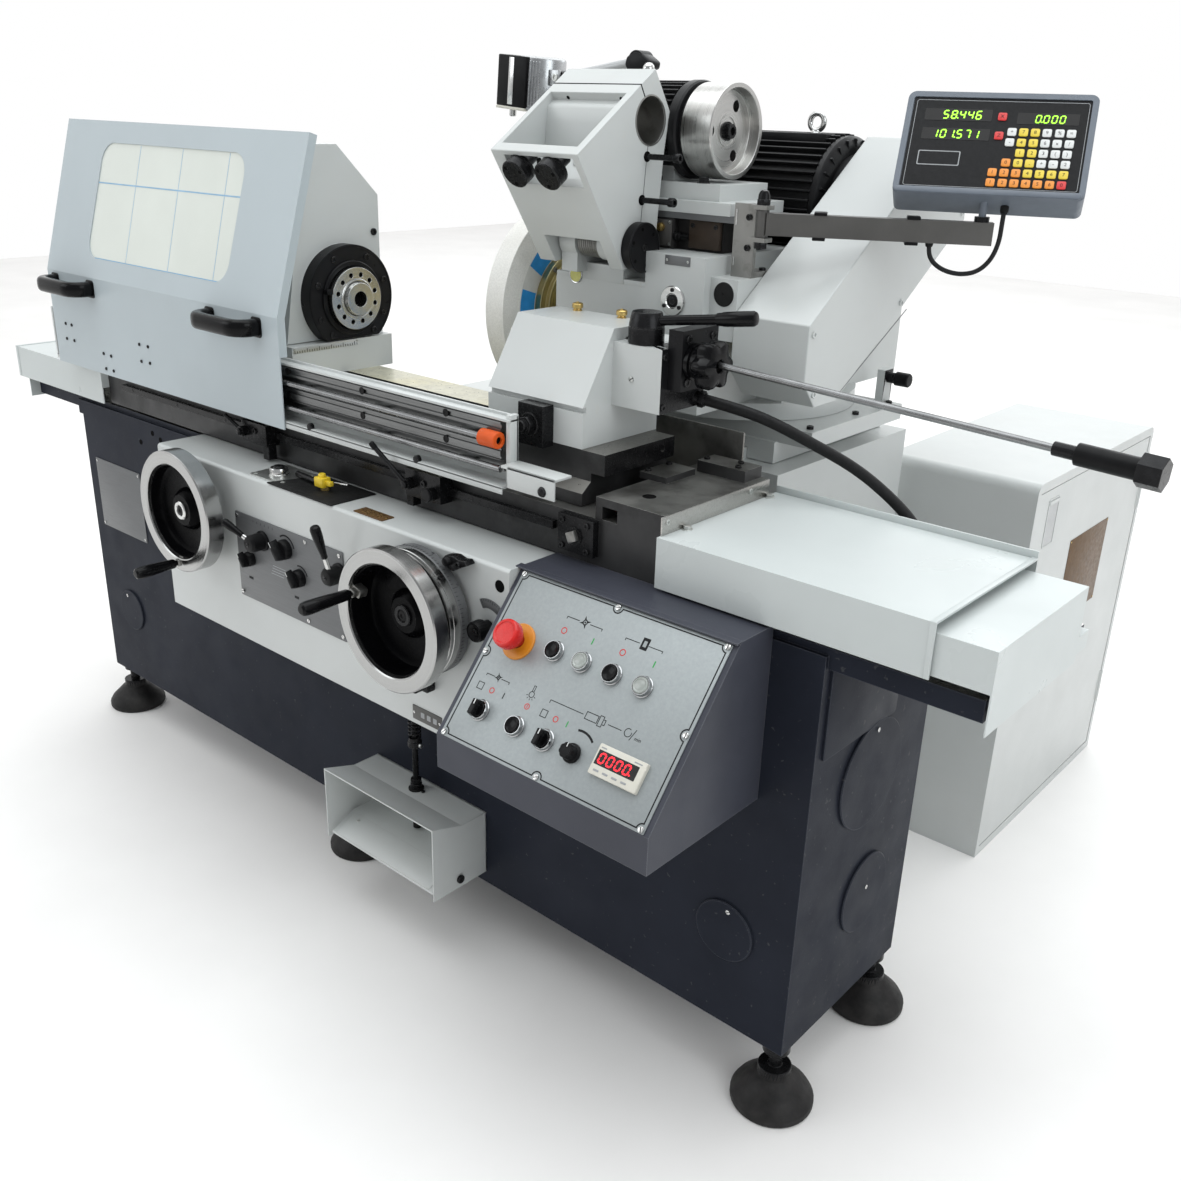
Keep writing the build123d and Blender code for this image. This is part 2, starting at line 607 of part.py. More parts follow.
GUARD = [(280, 860), (280, 941), (612, 1180), (725, 1180), (725, 1060), (371, 822), (313, 822)]
with BuildPart() as belt_guard:
    slab_x(-357, -231, GUARD)
    slab_x(-358, -234, inset(GUARD, 3), Mode.SUBTRACT)
save(belt_guard, "belt_guard")

with BuildPart() as main_motor:
    bar_x(-640, -374, MOTOR_Y, MOTOR_Z, MOTOR_R)
    bar_x(-658, -638, MOTOR_Y, MOTOR_Z, 82)
    bar_x(-376, -357.2, MOTOR_Y, MOTOR_Z, 74)
    block(-610, -400, 528, 680, 985.2, 1003)
    block(-580, -420, 556, 644, 1000, 1012)
    block(-540, -450, 690, 736, 1050, 1130)
    bar_x(-440, -356, MOTOR_Y, MOTOR_Z, 15, Mode.SUBTRACT)
save(main_motor, "main_motor")

with BuildPart() as grinding_wheel:
    turn_x([(WHEEL_X0, 64), (WHEEL_X0, WHEEL_R), (WHEEL_X1, WHEEL_R), (WHEEL_X1, 64)], WHEEL_Y, WHEEL_Z)
save(grinding_wheel, "grinding_wheel")

with BuildPart() as wheel_spindle:
    turn_x(
        [(-832, 0), (-832, 24), (-812, 24), (-812, 88), (WHEEL_X0 - 0.05, 88), (WHEEL_X0 - 0.05, 63.9), (WHEEL_X1 + 0.05, 63.9),
         (WHEEL_X1 + 0.05, 92), (-744, 92), (-744, 80), (-736, 80), (-736, 45), (-698, 45), (-698, 30), (-350, 30), (-340, 48),
         (-285, 48), (-285, 20), (-270, 20), (-270, 0)],
        WHEEL_Y, WHEEL_Z,
    )
save(wheel_spindle, "wheel_spindle")

with BuildPart() as motor_pulley:
    turn_x([(-430, 0), (-430, 14), (-340, 14), (-340, 55), (-285, 55), (-285, 18), (-275, 18), (-275, 0)], MOTOR_Y, MOTOR_Z)
save(motor_pulley, "motor_pulley")

with BuildPart() as drive_belt:
    belt_plane = Plane(origin=at(-333, 0, 0), x_dir=(0, 1, 0), z_dir=(1, 0, 0))
    with BuildSketch(belt_plane) as belt_out:
        with Locations((WHEEL_Y, WHEEL_Z)):
            Circle(48 + 6)
        with Locations((MOTOR_Y, MOTOR_Z)):
            Circle(55 + 6)
        make_hull()
    extrude(belt_out.sketch, amount=42)
    with BuildSketch(belt_plane) as belt_in:
        with Locations((WHEEL_Y, WHEEL_Z)):
            Circle(48 + RUN)
        with Locations((MOTOR_Y, MOTOR_Z)):
            Circle(55 + RUN)
        make_hull()
    extrude(belt_in.sketch, amount=42, mode=Mode.SUBTRACT)
save(drive_belt, "drive_belt")

# -------------------------------------------------------- internal attachment
ARM = [(129, 1150), (259, 1240), (294, 1264), (332, 1208), (323, 1154), (309, 998), (238, 988)]
with BuildPart() as internal_bracket:
    slab_x(-699, -530, ARM)
    # pocket in the upper face
    length = hypot(130, 90)
    ty, tz = 130 / length, 90 / length
    for lo, hi, depth in ((18, 112, 62), (111, 125, 30), (124, 141, 14)):
        mid = (lo + hi) / 2
        pocket = Plane(origin=at(-616, 129 + mid * ty, 1150 + mid * tz), x_dir=(1, 0, 0), z_dir=(0, -tz, ty))
        with BuildSketch(pocket) as mouth:
            Rectangle(146, hi - lo)
        extrude(mouth.sketch, amount=-depth, mode=Mode.SUBTRACT)
    # recess in the front face for the two clamping knobs
    drop = hypot(109, 162)
    fy, fz = 109 / drop, -162 / drop
    front = Plane(origin=at(-609, 129 + 31 * fy, 1150 + 31 * fz), x_dir=(1, 0, 0), z_dir=(0, fz, -fy))
    with BuildSketch(front) as recess:
        Rectangle(132, 46)
    extrude(recess.sketch, amount=-30, mode=Mode.SUBTRACT)
    bar_x(-700, -529, BORE_Y, BORE_Z, BORE_R, Mode.SUBTRACT)
    # notch for the lug and spring, and the pivot holes
    block(-666, -556, 190, 345, 960, 1029, Mode.SUBTRACT)
    bar_x(-666, -588, PIVOT_Y, PIVOT_Z, 31, Mode.SUBTRACT)
    bar_x(-588, -555, PIVOT_Y, PIVOT_Z, 24)
    bar_x(-700, -529, PIVOT_Y, PIVOT_Z, 14.4, Mode.SUBTRACT)
save(internal_bracket, "internal_bracket")

with BuildPart() as internal_motor:
    bar_x(-700, -512, IMOT_Y, IMOT_Z, IMOT_R)
    block(-690, -540, 362, 432, 1105, 1140)
    block(-690, -434, 335, 460, 1086, 1111)
    block(-690, -406, 325, 465, 1069, 1087)
    block(-690, -395, 326, 465, 1060, 1070)
    block(-690, -425, 338, 455, 1015.2, 1061)
    bar_x(-580, -511, IMOT_Y, IMOT_Z, 12.5, Mode.SUBTRACT)
save(internal_motor, "internal_motor")

with BuildPart() as internal_motor_pulley:
    turn_x(
        [(-575, 0), (-575, 12), (-508, 12), (-508, 67), (-455, 67), (-455, 60), (-472, 58), (-472, 0)],
        IMOT_Y, IMOT_Z,
    )
    for k in range(3):
        a = radians(60 + 120 * k)
        bar_x(-509, -471, IMOT_Y + 40 * cos(a), IMOT_Z + 40 * sin(a), 8, Mode.SUBTRACT)
save(internal_motor_pulley, "internal_motor_pulley")

# ---------------------------------------------------------- readout and lamp
ARM_A = radians(29.9)
ARM_Z = 1065.0


def on_arm(u, v=0.0, z=ARM_Z):
    return (-346 + u * cos(ARM_A) - v * sin(ARM_A), 318 + u * sin(ARM_A) + v * cos(ARM_A), z)


with BuildPart() as dro_arm:
    with BuildSketch(Plane(origin=at(*on_arm(0, 0, ARM_Z - 15)), x_dir=(cos(ARM_A), sin(ARM_A), 0), z_dir=(0, 0, 1))) as strip:
        with Locations((159, 0)):
            Rectangle(306, 22)
    extrude(strip.sketch, amount=30)
    bar_z(1046.6, 1083.4, -346, 318, 9)
    bar_z(1046, 1084, -346, 318, 5.2, Mode.SUBTRACT)
    hx, hy, hz = on_arm(296)
    bar_z(ARM_Z - 1, ARM_Z + 16, hx, hy, 5.4, Mode.SUBTRACT)
save(dro_arm, "dro_arm")

YAW, TILT = radians(21.1), radians(33.5)
DRO_W, DRO_H, DRO_T = 248.0, 154.0, 45.0
DRO_R = Vector(cos(YAW), sin(YAW), 0)
DRO_N = Vector(sin(YAW) * cos(TILT), -cos(YAW) * cos(TILT), sin(TILT))
DRO_U = DRO_N.cross(DRO_R)
DRO_C = (-98.0, 491.0, 1178.0)           # middle of the front face
with BuildPart() as dro_display:
    with BuildSketch(Plane(origin=at(*DRO_C), x_dir=DRO_R, z_dir=DRO_N)) as face:
        RectangleRounded(DRO_W, DRO_H, 9)
    extrude(face.sketch, amount=-DRO_T)
    hx, hy, hz = on_arm(296)
    bar_z(ARM_Z + 0, ARM_Z + 50, hx, hy, 5)
    bar_z(ARM_Z + 15.4, ARM_Z + 22, hx, hy, 10)
save(dro_display, "dro_display")

LEAD_R = 3.2
LEAD_END = Vector(*DRO_C) + DRO_R * 26 - DRO_U * (DRO_H / 2) - DRO_N * 24
LEAD_LOW = LEAD_END - DRO_U * 24
LEAD = [on_arm(231, 0, ARM_Z - 15), on_arm(231, 0, 1037), on_arm(239, 0.5, 1023), on_arm(256, 1, 1013), on_arm(278, 1.5, 1009), on_arm(300, 0, 1014),
        on_arm(315, -5, 1031), on_arm(321.5, -11, 1055), tuple(LEAD_LOW), tuple(LEAD_END)]
with BuildPart() as dro_cable:
    route = [at(*p) for p in LEAD]
    radii = corner_radii(route)
    print("lead radii", [round(r) for r in radii])
    with BuildLine() as lead_line:
        FilletPolyline(*route, radius=radii)
    with BuildSketch(Plane(origin=route[0], z_dir=route[1] - route[0])) as lead_ring:
        Circle(LEAD_R)
    sweep(lead_ring.sketch, path=lead_line.line)
    run = sum(e.length for e in lead_line.edges())
    print("lead length", round(run, 1), "volume ratio", round(dro_cable.part.volume / (run * 3.14159265 * LEAD_R**2), 4))
save(dro_cable, "dro_cable")

ELBOW, LAMP_END = (-712, 484, 1282), (-884, 484, 1256)
with BuildPart() as lamp_arm:
    bar_z(1022, 1041, -660, 484, 8)
    bar_z(1040.4, 1058, -660, 484, 16)
    strut((-660, 484, 1052), ELBOW, 8)
    strut(ELBOW, LAMP_END, 8)
    bar_y(470, 498, ELBOW[0], ELBOW[2], 16)
    bar_y(474, 494, LAMP_END[0], LAMP_END[2], 11)
    bar_y(470, 498, LAMP_END[0], LAMP_END[2], 4.4, Mode.SUBTRACT)
save(lamp_arm, "lamp_arm")

with BuildPart() as lamp_head:
    turn_z([(0, 1204), (44, 1204), (44, 1287), (41, 1290), (0, 1290)], -942, 484)
    block(-1022, -978, 460, 508, 1208, 1288)
    block(-901, -876, 496, 502, 1244, 1268)
    block(-901, -876, 466, 472, 1244, 1268)
    block(-906, -897, 466, 502, 1244, 1268)
    bar_y(466, 502, LAMP_END[0], LAMP_END[2], 4)
save(lamp_head, "lamp_head")

# ------------------------------------------------------- handwheels and levers
with BuildPart() as traverse_handwheel:
    turn_y(
        [(-60, 0), (-60, 14), (-109, 14), (-109, 34), (-126, 34), (-127, 88), (-125, 92), (-125, 107), (-157, 107), (-157, 86), (-137, 83), (-134, 26),
         (-141, 18), (-141, 0)],
        TRAV_X, TRAV_Z,
    )
    bar_y(-240, -140, TRAV_X, TRAV_Z - 92, 9)
save(traverse_handwheel, "traverse_handwheel")

with BuildPart() as infeed_handwheel:
    turn_y(
        [(-60, 0), (-60, 14), (-103.6, 14), (-103.6, 98), (-144, 98), (-144, 90), (-150, 90), (-150, 108), (-176, 108), (-176, 87), (-156, 84), (-153, 26),
         (-158, 20), (-158, 0)],
        INF_X, INF_Z,
    )
    bar_y(-268, -154, INF_X - 70, INF_Z + 25, 9)
save(infeed_handwheel, "infeed_handwheel")

with BuildPart() as start_lever:
    x, z = LEVER_A
    bar_y(-128, -97.4, x, z, 14)
    bar_y(-98, -74, x, z, 6)
    strut((x, -118, z), (-1066, -138, 556), 4)
    strut((-1044, -129.5, 542), (-1066, -138, 556), 6.5)
save(start_lever, "start_lever")

with BuildPart() as feed_lever:
    x, z = LEVER_B
    bar_y(-126, -97.4, x, z, 15)
    bar_y(-98, -74, x, z, 6)
    strut((x, -116, z), (-806, -142, 611), 4)
    strut((-807.2, -131.6, 575), (-806, -142, 611), 8)
save(feed_lever, "feed_lever")

with BuildPart() as speed_knob:
    x, z, r = KNOBS["speed_knob"]
    bar_y(-114, -97.4, x, z, r)
    block(x - r + 1, x + r - 1, -124, -113, z - 4.5, z + 4.5)
    bar_y(-98, -74, x, z, 5)
save(speed_knob, "speed_knob")

with BuildPart() as dwell_knob_left:
    x, z, r = KNOBS["dwell_knob_left"]
    bar_y(-112, -97.4, x, z, r)
    block(x - r + 1, x + r - 1, -121, -111, z - 4, z + 4)
    bar_y(-98, -74, x, z, 5)
save(dwell_knob_left, "dwell_knob_left")

with BuildPart() as dwell_knob_right:
    x, z, r = KNOBS["dwell_knob_right"]
    bar_y(-112, -97.4, x, z, r)
    block(x - r + 1, x + r - 1, -121, -111, z - 4, z + 4)
    bar_y(-98, -74, x, z, 5)
save(dwell_knob_right, "dwell_knob_right")

with BuildPart() as feed_knob:
    x, z, r = KNOBS["feed_knob"]
    bar_y(-126, -108, x, z, r)
    bar_y(-109, -97.4, x, z, 10)
    bar_y(-98, -74, x, z, 5)
save(feed_knob, "feed_knob")

# ------------------------------------------------------------------ foot pedal
with BuildPart() as foot_pedal:
    slab_x(-850, -591, [(-113, 30), (-113, 34), (-66, 56), (-14, 58), (-14, 54), (-65, 52)])
    for x0 in (-849, -604):
        bar_x(x0, x0 + 12, PEDAL_Y, PEDAL_Z, 9)
        block(x0, x0 + 12, PEDAL_Y - 7, PEDAL_Y + 7, PEDAL_Z, 53.5)
    bar_x(-852, -589, PEDAL_Y, PEDAL_Z, 4.9, Mode.SUBTRACT)
save(foot_pedal, "foot_pedal")

with BuildPart() as pedal_rod:
    bar_z(60.2, 372, ROD_X, ROD_Y, 5)
    bar_z(141, 149, ROD_X, ROD_Y, 10)
    bar_z(262, 270, ROD_X, ROD_Y, 11)
save(pedal_rod, "pedal_rod")

# ------------------------------------------------------------ console controls
with BuildPart() as emergency_stop:
    peg(*STOP_AT, -22, 16, 9)
    peg(*STOP_AT, 12, 24, 16)
    peg(*STOP_AT, 22, 38, 20)
save(emergency_stop, "emergency_stop")


with BuildPart() as push_button_1:
    peg(*BUTTONS[0], -20, 9, 9)
save(push_button_1, "push_button_1")

with BuildPart() as push_button_2:
    peg(*BUTTONS[1], -20, 9, 9)
save(push_button_2, "push_button_2")

with BuildPart() as push_button_3:
    peg(*BUTTONS[2], -20, 9, 9)
save(push_button_3, "push_button_3")

with BuildPart() as push_button_4:
    peg(*BUTTONS[3], -20, 9, 9)
save(push_button_4, "push_button_4")

with BuildPart() as push_button_5:
    peg(*BUTTONS[4], -20, 9, 9)
save(push_button_5, "push_button_5")

with BuildPart() as selector_left:
    peg(*SELECTORS[0], -20, 5, 6)
    peg(*SELECTORS[0], 3, 10, 11)
    peg_box(*SELECTORS[0], 9, 20, 7, 23)
save(selector_left, "selector_left")

with BuildPart() as selector_right:
    peg(*SELECTORS[1], -20, 5, 6)
    peg(*SELECTORS[1], 3, 10, 11)
    peg_box(*SELECTORS[1], 9, 20, 7, 23)
save(selector_right, "selector_right")

with BuildPart() as speed_potentiometer:
    peg(*POT_AT, -20, 3, 6)
    peg(*POT_AT, 2.2, 6, 13)
    peg(*POT_AT, 5, 19, 10)
save(speed_potentiometer, "speed_potentiometer")
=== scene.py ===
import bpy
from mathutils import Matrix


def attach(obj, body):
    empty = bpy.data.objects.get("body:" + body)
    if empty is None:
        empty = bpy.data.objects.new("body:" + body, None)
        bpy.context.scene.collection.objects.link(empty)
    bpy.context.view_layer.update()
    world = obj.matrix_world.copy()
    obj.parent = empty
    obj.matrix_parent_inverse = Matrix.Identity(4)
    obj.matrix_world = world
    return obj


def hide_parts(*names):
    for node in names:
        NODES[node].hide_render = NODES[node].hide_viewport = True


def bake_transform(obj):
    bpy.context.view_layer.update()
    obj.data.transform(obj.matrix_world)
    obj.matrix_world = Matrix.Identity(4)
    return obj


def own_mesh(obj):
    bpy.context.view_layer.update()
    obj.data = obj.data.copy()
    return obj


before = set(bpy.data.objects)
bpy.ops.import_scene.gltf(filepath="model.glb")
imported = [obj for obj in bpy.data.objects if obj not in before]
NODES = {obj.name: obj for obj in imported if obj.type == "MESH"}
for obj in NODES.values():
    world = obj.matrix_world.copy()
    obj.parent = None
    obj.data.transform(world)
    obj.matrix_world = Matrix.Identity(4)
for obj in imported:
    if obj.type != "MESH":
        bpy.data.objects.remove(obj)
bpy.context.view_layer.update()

import math
import random

import bmesh
import bpy
from mathutils import Matrix, Vector

scene = bpy.context.scene
random.seed(7)

# The machine is described in millimetres from the lower front right corner of the bed:
# x to the operator's right, y to the back, z up. The row frame is metres from the floor's middle.
OX, OY, OZ = 869.0, -563.5, 105.0


def P(x, y, z):
    return Vector(((x + OX) / 1000.0, (y + OY) / 1000.0, (z + OZ) / 1000.0))


# ------------------------------------------------------------------ the camera
camera_data = bpy.data.cameras.new("camera")
camera_data.lens = 36.09
camera_data.sensor_width = 36.0
camera_data.clip_end = 60.0
camera = bpy.data.objects.new("camera", camera_data)
scene.collection.objects.link(camera)
CAM_X = Vector((0.7525, 0.658026, 0.027309))
CAM_Y = Vector((-0.267637, 0.267648, 0.9256))
CAM_Z = Vector((0.601759, -0.703823, 0.377518))
camera.matrix_world = Matrix.Translation((1.48411, -1.718767, 1.314874)) @ Matrix((CAM_X, CAM_Y, CAM_Z)).transposed().to_4x4()
scene.camera = camera


# ------------------------------------------------------------------- materials
def link(nt, a, b):
    nt.links.new(a, b)


def material(name, rgb, rough=0.45, metal=0.0, vary=0.06, scale=14.0, rough_vary=0.08, bump=0.0, bump_scale=700.0,
             stretch=None, rings=None, grime_and_reflection=None, specks=None, coat=0.0, emit=0.0, alpha=None, transmission=0.0, wear=None,
             blotch=None, height=0.0008, spec=None):
    """Procedural finish: colour that drifts, roughness that varies, and a fine relief.

    stretch: texture scale per axis, for brushed marks; rings: (x, y, z, axis) of a turned face;
    grime_and_reflection: (colour, amount, scale) of broad stains, and on the scraped table top of painted reflection of
    a yellow lamp; specks: (colour, amount, scale) of small marks;
    blotch: (colour, amount, scale) of middle-sized cloudy marks; wear: (colour, width) worn raised edges.
    """
    m = bpy.data.materials.new(name)
    m.use_nodes = True
    nt = m.node_tree
    b = nt.nodes["Principled BSDF"]
    new = nt.nodes.new
    coord = new("ShaderNodeTexCoord")
    src = coord.outputs["Object"]
    flat = src
    if rings:
        c = P(*rings[:3])
        ax = "XYZ".index(rings[3])
        sub = new("ShaderNodeVectorMath")
        sub.operation = "SUBTRACT"
        link(nt, src, sub.inputs[0])
        sub.inputs[1].default_value = c
        sep = new("ShaderNodeSeparateXYZ")
        link(nt, sub.outputs[0], sep.inputs[0])
        rest = [i for i in range(3) if i != ax]
        comb = new("ShaderNodeCombineXYZ")
        link(nt, sep.outputs[rest[0]], comb.inputs[0])
        link(nt, sep.outputs[rest[1]], comb.inputs[1])
        length = new("ShaderNodeVectorMath")
        length.operation = "LENGTH"
        link(nt, comb.outputs[0], length.inputs[0])
        comb2 = new("ShaderNodeCombineXYZ")
        link(nt, length.outputs["Value"], comb2.inputs[0])
        link(nt, sep.outputs[ax], comb2.inputs[1])
        src = comb2.outputs[0]
    if stretch:
        mp = new("ShaderNodeMapping")
        mp.inputs["Scale"].default_value = stretch
        link(nt, src, mp.inputs["Vector"])
        src = mp.outputs["Vector"]

    def noise(s, detail=4.0, vec=None, rough_=0.55):
        n = new("ShaderNodeTexNoise")
        n.inputs["Scale"].default_value = s
        n.inputs["Detail"].default_value = detail
        n.inputs["Roughness"].default_value = rough_
        link(nt, vec if vec is not None else src, n.inputs["Vector"])
        return n.outputs["Fac"]

    def ramp(fac, p0, c0, p1, c1):
        r = new("ShaderNodeValToRGB")
        r.color_ramp.elements[0].position = p0
        r.color_ramp.elements[0].color = (*c0, 1)
        r.color_ramp.elements[1].position = p1
        r.color_ramp.elements[1].color = (*c1, 1)
        link(nt, fac, r.inputs["Fac"])
        return r.outputs["Color"]

    def mix(fac, a, c):
        x = new("ShaderNodeMix")
        x.data_type = "RGBA"
        link(nt, fac, x.inputs[0])
        link(nt, a, x.inputs[6])
        x.inputs[7].default_value = (*c, 1)
        return x.outputs[2]

    lo = tuple(max(0.0, c * (1 - vary)) for c in rgb)
    hi = tuple(min(1.0, c * (1 + vary)) for c in rgb)
    colour = ramp(noise(scale), 0.3, lo, 0.7, hi)
    if grime_and_reflection:
        f = ramp(noise(grime_and_reflection[2], 6.0, flat), 0.52, (0, 0, 0), 0.78, (grime_and_reflection[1],) * 3)
        colour = mix(f, colour, grime_and_reflection[0])
    if blotch:
        f = ramp(noise(blotch[2], 8.0, flat, 0.65), 0.5, (0, 0, 0), 0.62, (blotch[1],) * 3)
        colour = mix(f, colour, blotch[0])
    if specks:
        f = ramp(noise(specks[2], 2.0, flat), 0.68, (0, 0, 0), 0.72, (specks[1],) * 3)
        colour = mix(f, colour, specks[0])
    if wear:
        bev = new("ShaderNodeBevel")
        bev.samples = 4
        bev.inputs["Radius"].default_value = wear[1]
        geo = new("ShaderNodeNewGeometry")
        dot = new("ShaderNodeVectorMath")
        dot.operation = "DOT_PRODUCT"
        link(nt, bev.outputs["Normal"], dot.inputs[0])
        link(nt, geo.outputs["Normal"], dot.inputs[1])
        f = ramp(dot.outputs["Value"], 0.90, (0.85,) * 3, 0.985, (0, 0, 0))
        colour = mix(f, colour, wear[0])
    link(nt, colour, b.inputs["Base Color"])
    r = new("ShaderNodeMapRange")
    r.inputs["From Min"].default_value = 0.3
    r.inputs["From Max"].default_value = 0.7
    r.inputs["To Min"].default_value = max(0.03, rough - rough_vary)
    r.inputs["To Max"].default_value = min(1.0, rough + rough_vary)
    link(nt, noise(scale * 2.3), r.inputs["Value"])
    link(nt, r.outputs["Result"], b.inputs["Roughness"])
    b.inputs["Metallic"].default_value = metal
    if bump:
        bp = new("ShaderNodeBump")
        bp.inputs["Strength"].default_value = bump
        bp.inputs["Distance"].default_value = height
        link(nt, noise(bump_scale, 3.0), bp.inputs["Height"])
        link(nt, bp.outputs["Normal"], b.inputs["Normal"])
    if spec is not None:
        b.inputs["Specular IOR Level"].default_value = spec
    if coat:
        b.inputs["Coat Weight"].default_value = coat
        b.inputs["Coat Roughness"].default_value = 0.12
    if emit:
        link(nt, colour, b.inputs["Emission Color"])
        b.inputs["Emission Strength"].default_value = emit
    if alpha is not None:
        b.inputs["Alpha"].default_value = alpha
    if transmission:
        b.inputs["Transmission Weight"].default_value = transmission
    return m


WHITE = material("white_enamel", (0.535, 0.555, 0.548), 0.36, vary=0.02, scale=5, bump=0.09, bump_scale=420, grime_and_reflection=((0.455, 0.46, 0.44), 0.3, 4), coat=0.2,
                 specks=((0.55, 0.55, 0.52), 0.35, 70))
SHEET = material("white_sheet_enamel", (0.435, 0.49, 0.515), 0.36, vary=0.02, scale=4, bump=0.05, bump_scale=500, grime_and_reflection=((0.385, 0.43, 0.45), 0.3, 5), coat=0.08, spec=0.35)
BED = material("bed_enamel", (0.018, 0.0208, 0.030), 0.40, vary=0.12, scale=7, bump=0.14, bump_scale=330, grime_and_reflection=((0.029, 0.032, 0.042), 0.45, 5), spec=0.05,
               specks=((0.09, 0.09, 0.09), 0.4, 110), wear=((0.075, 0.08, 0.095), 0.0022))
CONSOLE = material("console_enamel", (0.048, 0.051, 0.066), 0.38, vary=0.08, scale=8, bump=0.12, bump_scale=420, spec=0.22, wear=((0.13, 0.135, 0.15), 0.002))
COVER = material("cover_enamel", (0.545, 0.58, 0.575), 0.32, vary=0.03, scale=4, bump=0.05, bump_scale=420, grime_and_reflection=((0.49, 0.525, 0.52), 0.25, 3), coat=0.05, spec=0.25)
STEEL = material("ground_steel", (0.47, 0.46, 0.44), 0.30, 1.0, vary=0.12, scale=3.0, stretch=(4, 160, 160), bump=0.12, bump_scale=5, grime_and_reflection=((0.24, 0.23, 0.21), 0.6, 9), rough_vary=0.10)
DARK_STEEL = material("stained_steel", (0.30, 0.296, 0.282), 0.40, 0.9, vary=0.2, scale=9, bump=0.08, bump_scale=300, blotch=((0.15, 0.146, 0.136), 0.7, 16), rough_vary=0.12)
TABLE_SIDE = material("dark_table_side", (0.040, 0.040, 0.041), 0.40, 0.4, vary=0.3, scale=8, bump=0.10, bump_scale=260, blotch=((0.018, 0.018, 0.018), 0.7, 10), grime_and_reflection=((0.085, 0.084, 0.082), 0.35, 14), rough_vary=0.12, spec=0.3)
def darker_past(m, x0, x1, colour):
    """The same finish, turning darker between two stations along the machine and staying dark past the second."""
    nt = m.node_tree
    b = nt.nodes["Principled BSDF"]
    was = b.inputs["Base Color"].links[0].from_socket
    pos = nt.nodes.new("ShaderNodeSeparateXYZ")
    link(nt, nt.nodes.new("ShaderNodeTexCoord").outputs["Object"], pos.inputs[0])
    part = nt.nodes.new("ShaderNodeMapRange")
    part.inputs["From Min"].default_value = P(x0, 0, 0).x
    part.inputs["From Max"].default_value = P(x1, 0, 0).x
    link(nt, pos.outputs[0], part.inputs["Value"])
    x = nt.nodes.new("ShaderNodeMix")
    x.data_type = "RGBA"
    link(nt, part.outputs["Result"], x.inputs[0])
    link(nt, was, x.inputs[6])
    x.inputs[7].default_value = (*colour, 1)
    link(nt, x.outputs[2], b.inputs["Base Color"])


# scraped table top: the bright yellow patches are painted reflection of a yellow lamp, and the yellowish, lightened
# tone is partly painted reflection of it too
SCRAPED_AND_LAMP_REFLECTION = material("scraped_steel_and_lamp_reflection", (0.56, 0.54, 0.43), 0.34, 0.55, vary=0.10, scale=60, bump=0.10, bump_scale=90, blotch=((0.40, 0.385, 0.31), 0.5, 70), grime_and_reflection=((0.66, 0.58, 0.25), 0.5, 5), rough_vary=0.08)
darker_past(SCRAPED_AND_LAMP_REFLECTION, -640, -600, (0.20, 0.195, 0.18))
RAIL = material("rail_profile_alloy", (0.19, 0.193, 0.193), 0.36, 1.0, vary=0.12, scale=3, stretch=(3, 200, 200), bump=0.08, bump_scale=5, rough_vary=0.10)
ROD = material("oiled_rod", (0.22, 0.222, 0.225), 0.28, 1.0, vary=0.12, scale=40, bump=0.02, bump_scale=500)
LAMP_GREY_AND_RECESS_SHADE = material("lamp_arm_enamel_and_recess_shade", (0.46, 0.47, 0.475), 0.38, 0.3, vary=0.05, scale=20, bump=0.05, bump_scale=700)
BEZEL = material("display_bezel", (0.125, 0.145, 0.175), 0.42, vary=0.06, scale=30, bump=0.06, bump_scale=1200)
ARM_GREY = material("readout_arm_enamel", (0.085, 0.082, 0.078), 0.42, 0.2, vary=0.12, scale=16, bump=0.08, bump_scale=700, grime_and_reflection=((0.13, 0.125, 0.12), 0.4, 12))
BRIGHT = material("bright_steel", (0.62, 0.62, 0.61), 0.20, 1.0, vary=0.06, scale=30, bump=0.04, bump_scale=900, rough_vary=0.06)
ALU = material("aluminium", (0.60, 0.61, 0.61), 0.34, 1.0, vary=0.07, scale=3, stretch=(3, 220, 220), bump=0.10, bump_scale=5, rough_vary=0.08)
CAST_ALU = material("lamp_aluminium", (0.45, 0.46, 0.468), 0.27, 1.0, vary=0.07, scale=20, bump=0.06, bump_scale=800)
ZINC = material("zinc_plate", (0.58, 0.59, 0.57), 0.36, 1.0, vary=0.12, scale=120, bump=0.04, bump_scale=900)
BRASS = material("brass", (0.62, 0.44, 0.16), 0.28, 1.0, vary=0.10, scale=60, bump=0.03, bump_scale=900)
BLACK_OXIDE = material("black_oxide", (0.015, 0.015, 0.016), 0.25, 0.5, vary=0.25, scale=90, bump=0.04, bump_scale=900, wear=((0.12, 0.12, 0.12), 0.0006), spec=0.2, rough_vary=0.06)
BLACK_PAINT = material("black_enamel", (0.009, 0.009, 0.010), 0.34, vary=0.25, scale=16, bump=0.10, bump_scale=420, coat=0.04, grime_and_reflection=((0.030, 0.030, 0.030), 0.35, 10), spec=0.12)
MOTOR = material("motor_enamel", (0.010, 0.010, 0.011), 0.40, vary=0.3, scale=18, bump=0.16, bump_scale=300, grime_and_reflection=((0.036, 0.036, 0.035), 0.4, 12), spec=0.22)
IRON = material("foot_iron", (0.016, 0.015, 0.015), 0.55, vary=0.4, scale=40, bump=0.35, bump_scale=260, grime_and_reflection=((0.045, 0.042, 0.038), 0.4, 20), spec=0.25)
BAKELITE = material("black_bakelite", (0.004, 0.004, 0.0046), 0.16, vary=0.2, scale=30, bump=0.02, bump_scale=500, coat=0.05, spec=0.12, rough_vary=0.04)
WELL = material("handwheel_inside", (0.0025, 0.0025, 0.003), 0.26, vary=0.3, scale=20, bump=0.02, bump_scale=300, spec=0.04, rough_vary=0.06)
BLACK = material("black_plastic", (0.007, 0.007, 0.0076), 0.36, vary=0.2, scale=40, bump=0.08, bump_scale=1100, spec=0.12)
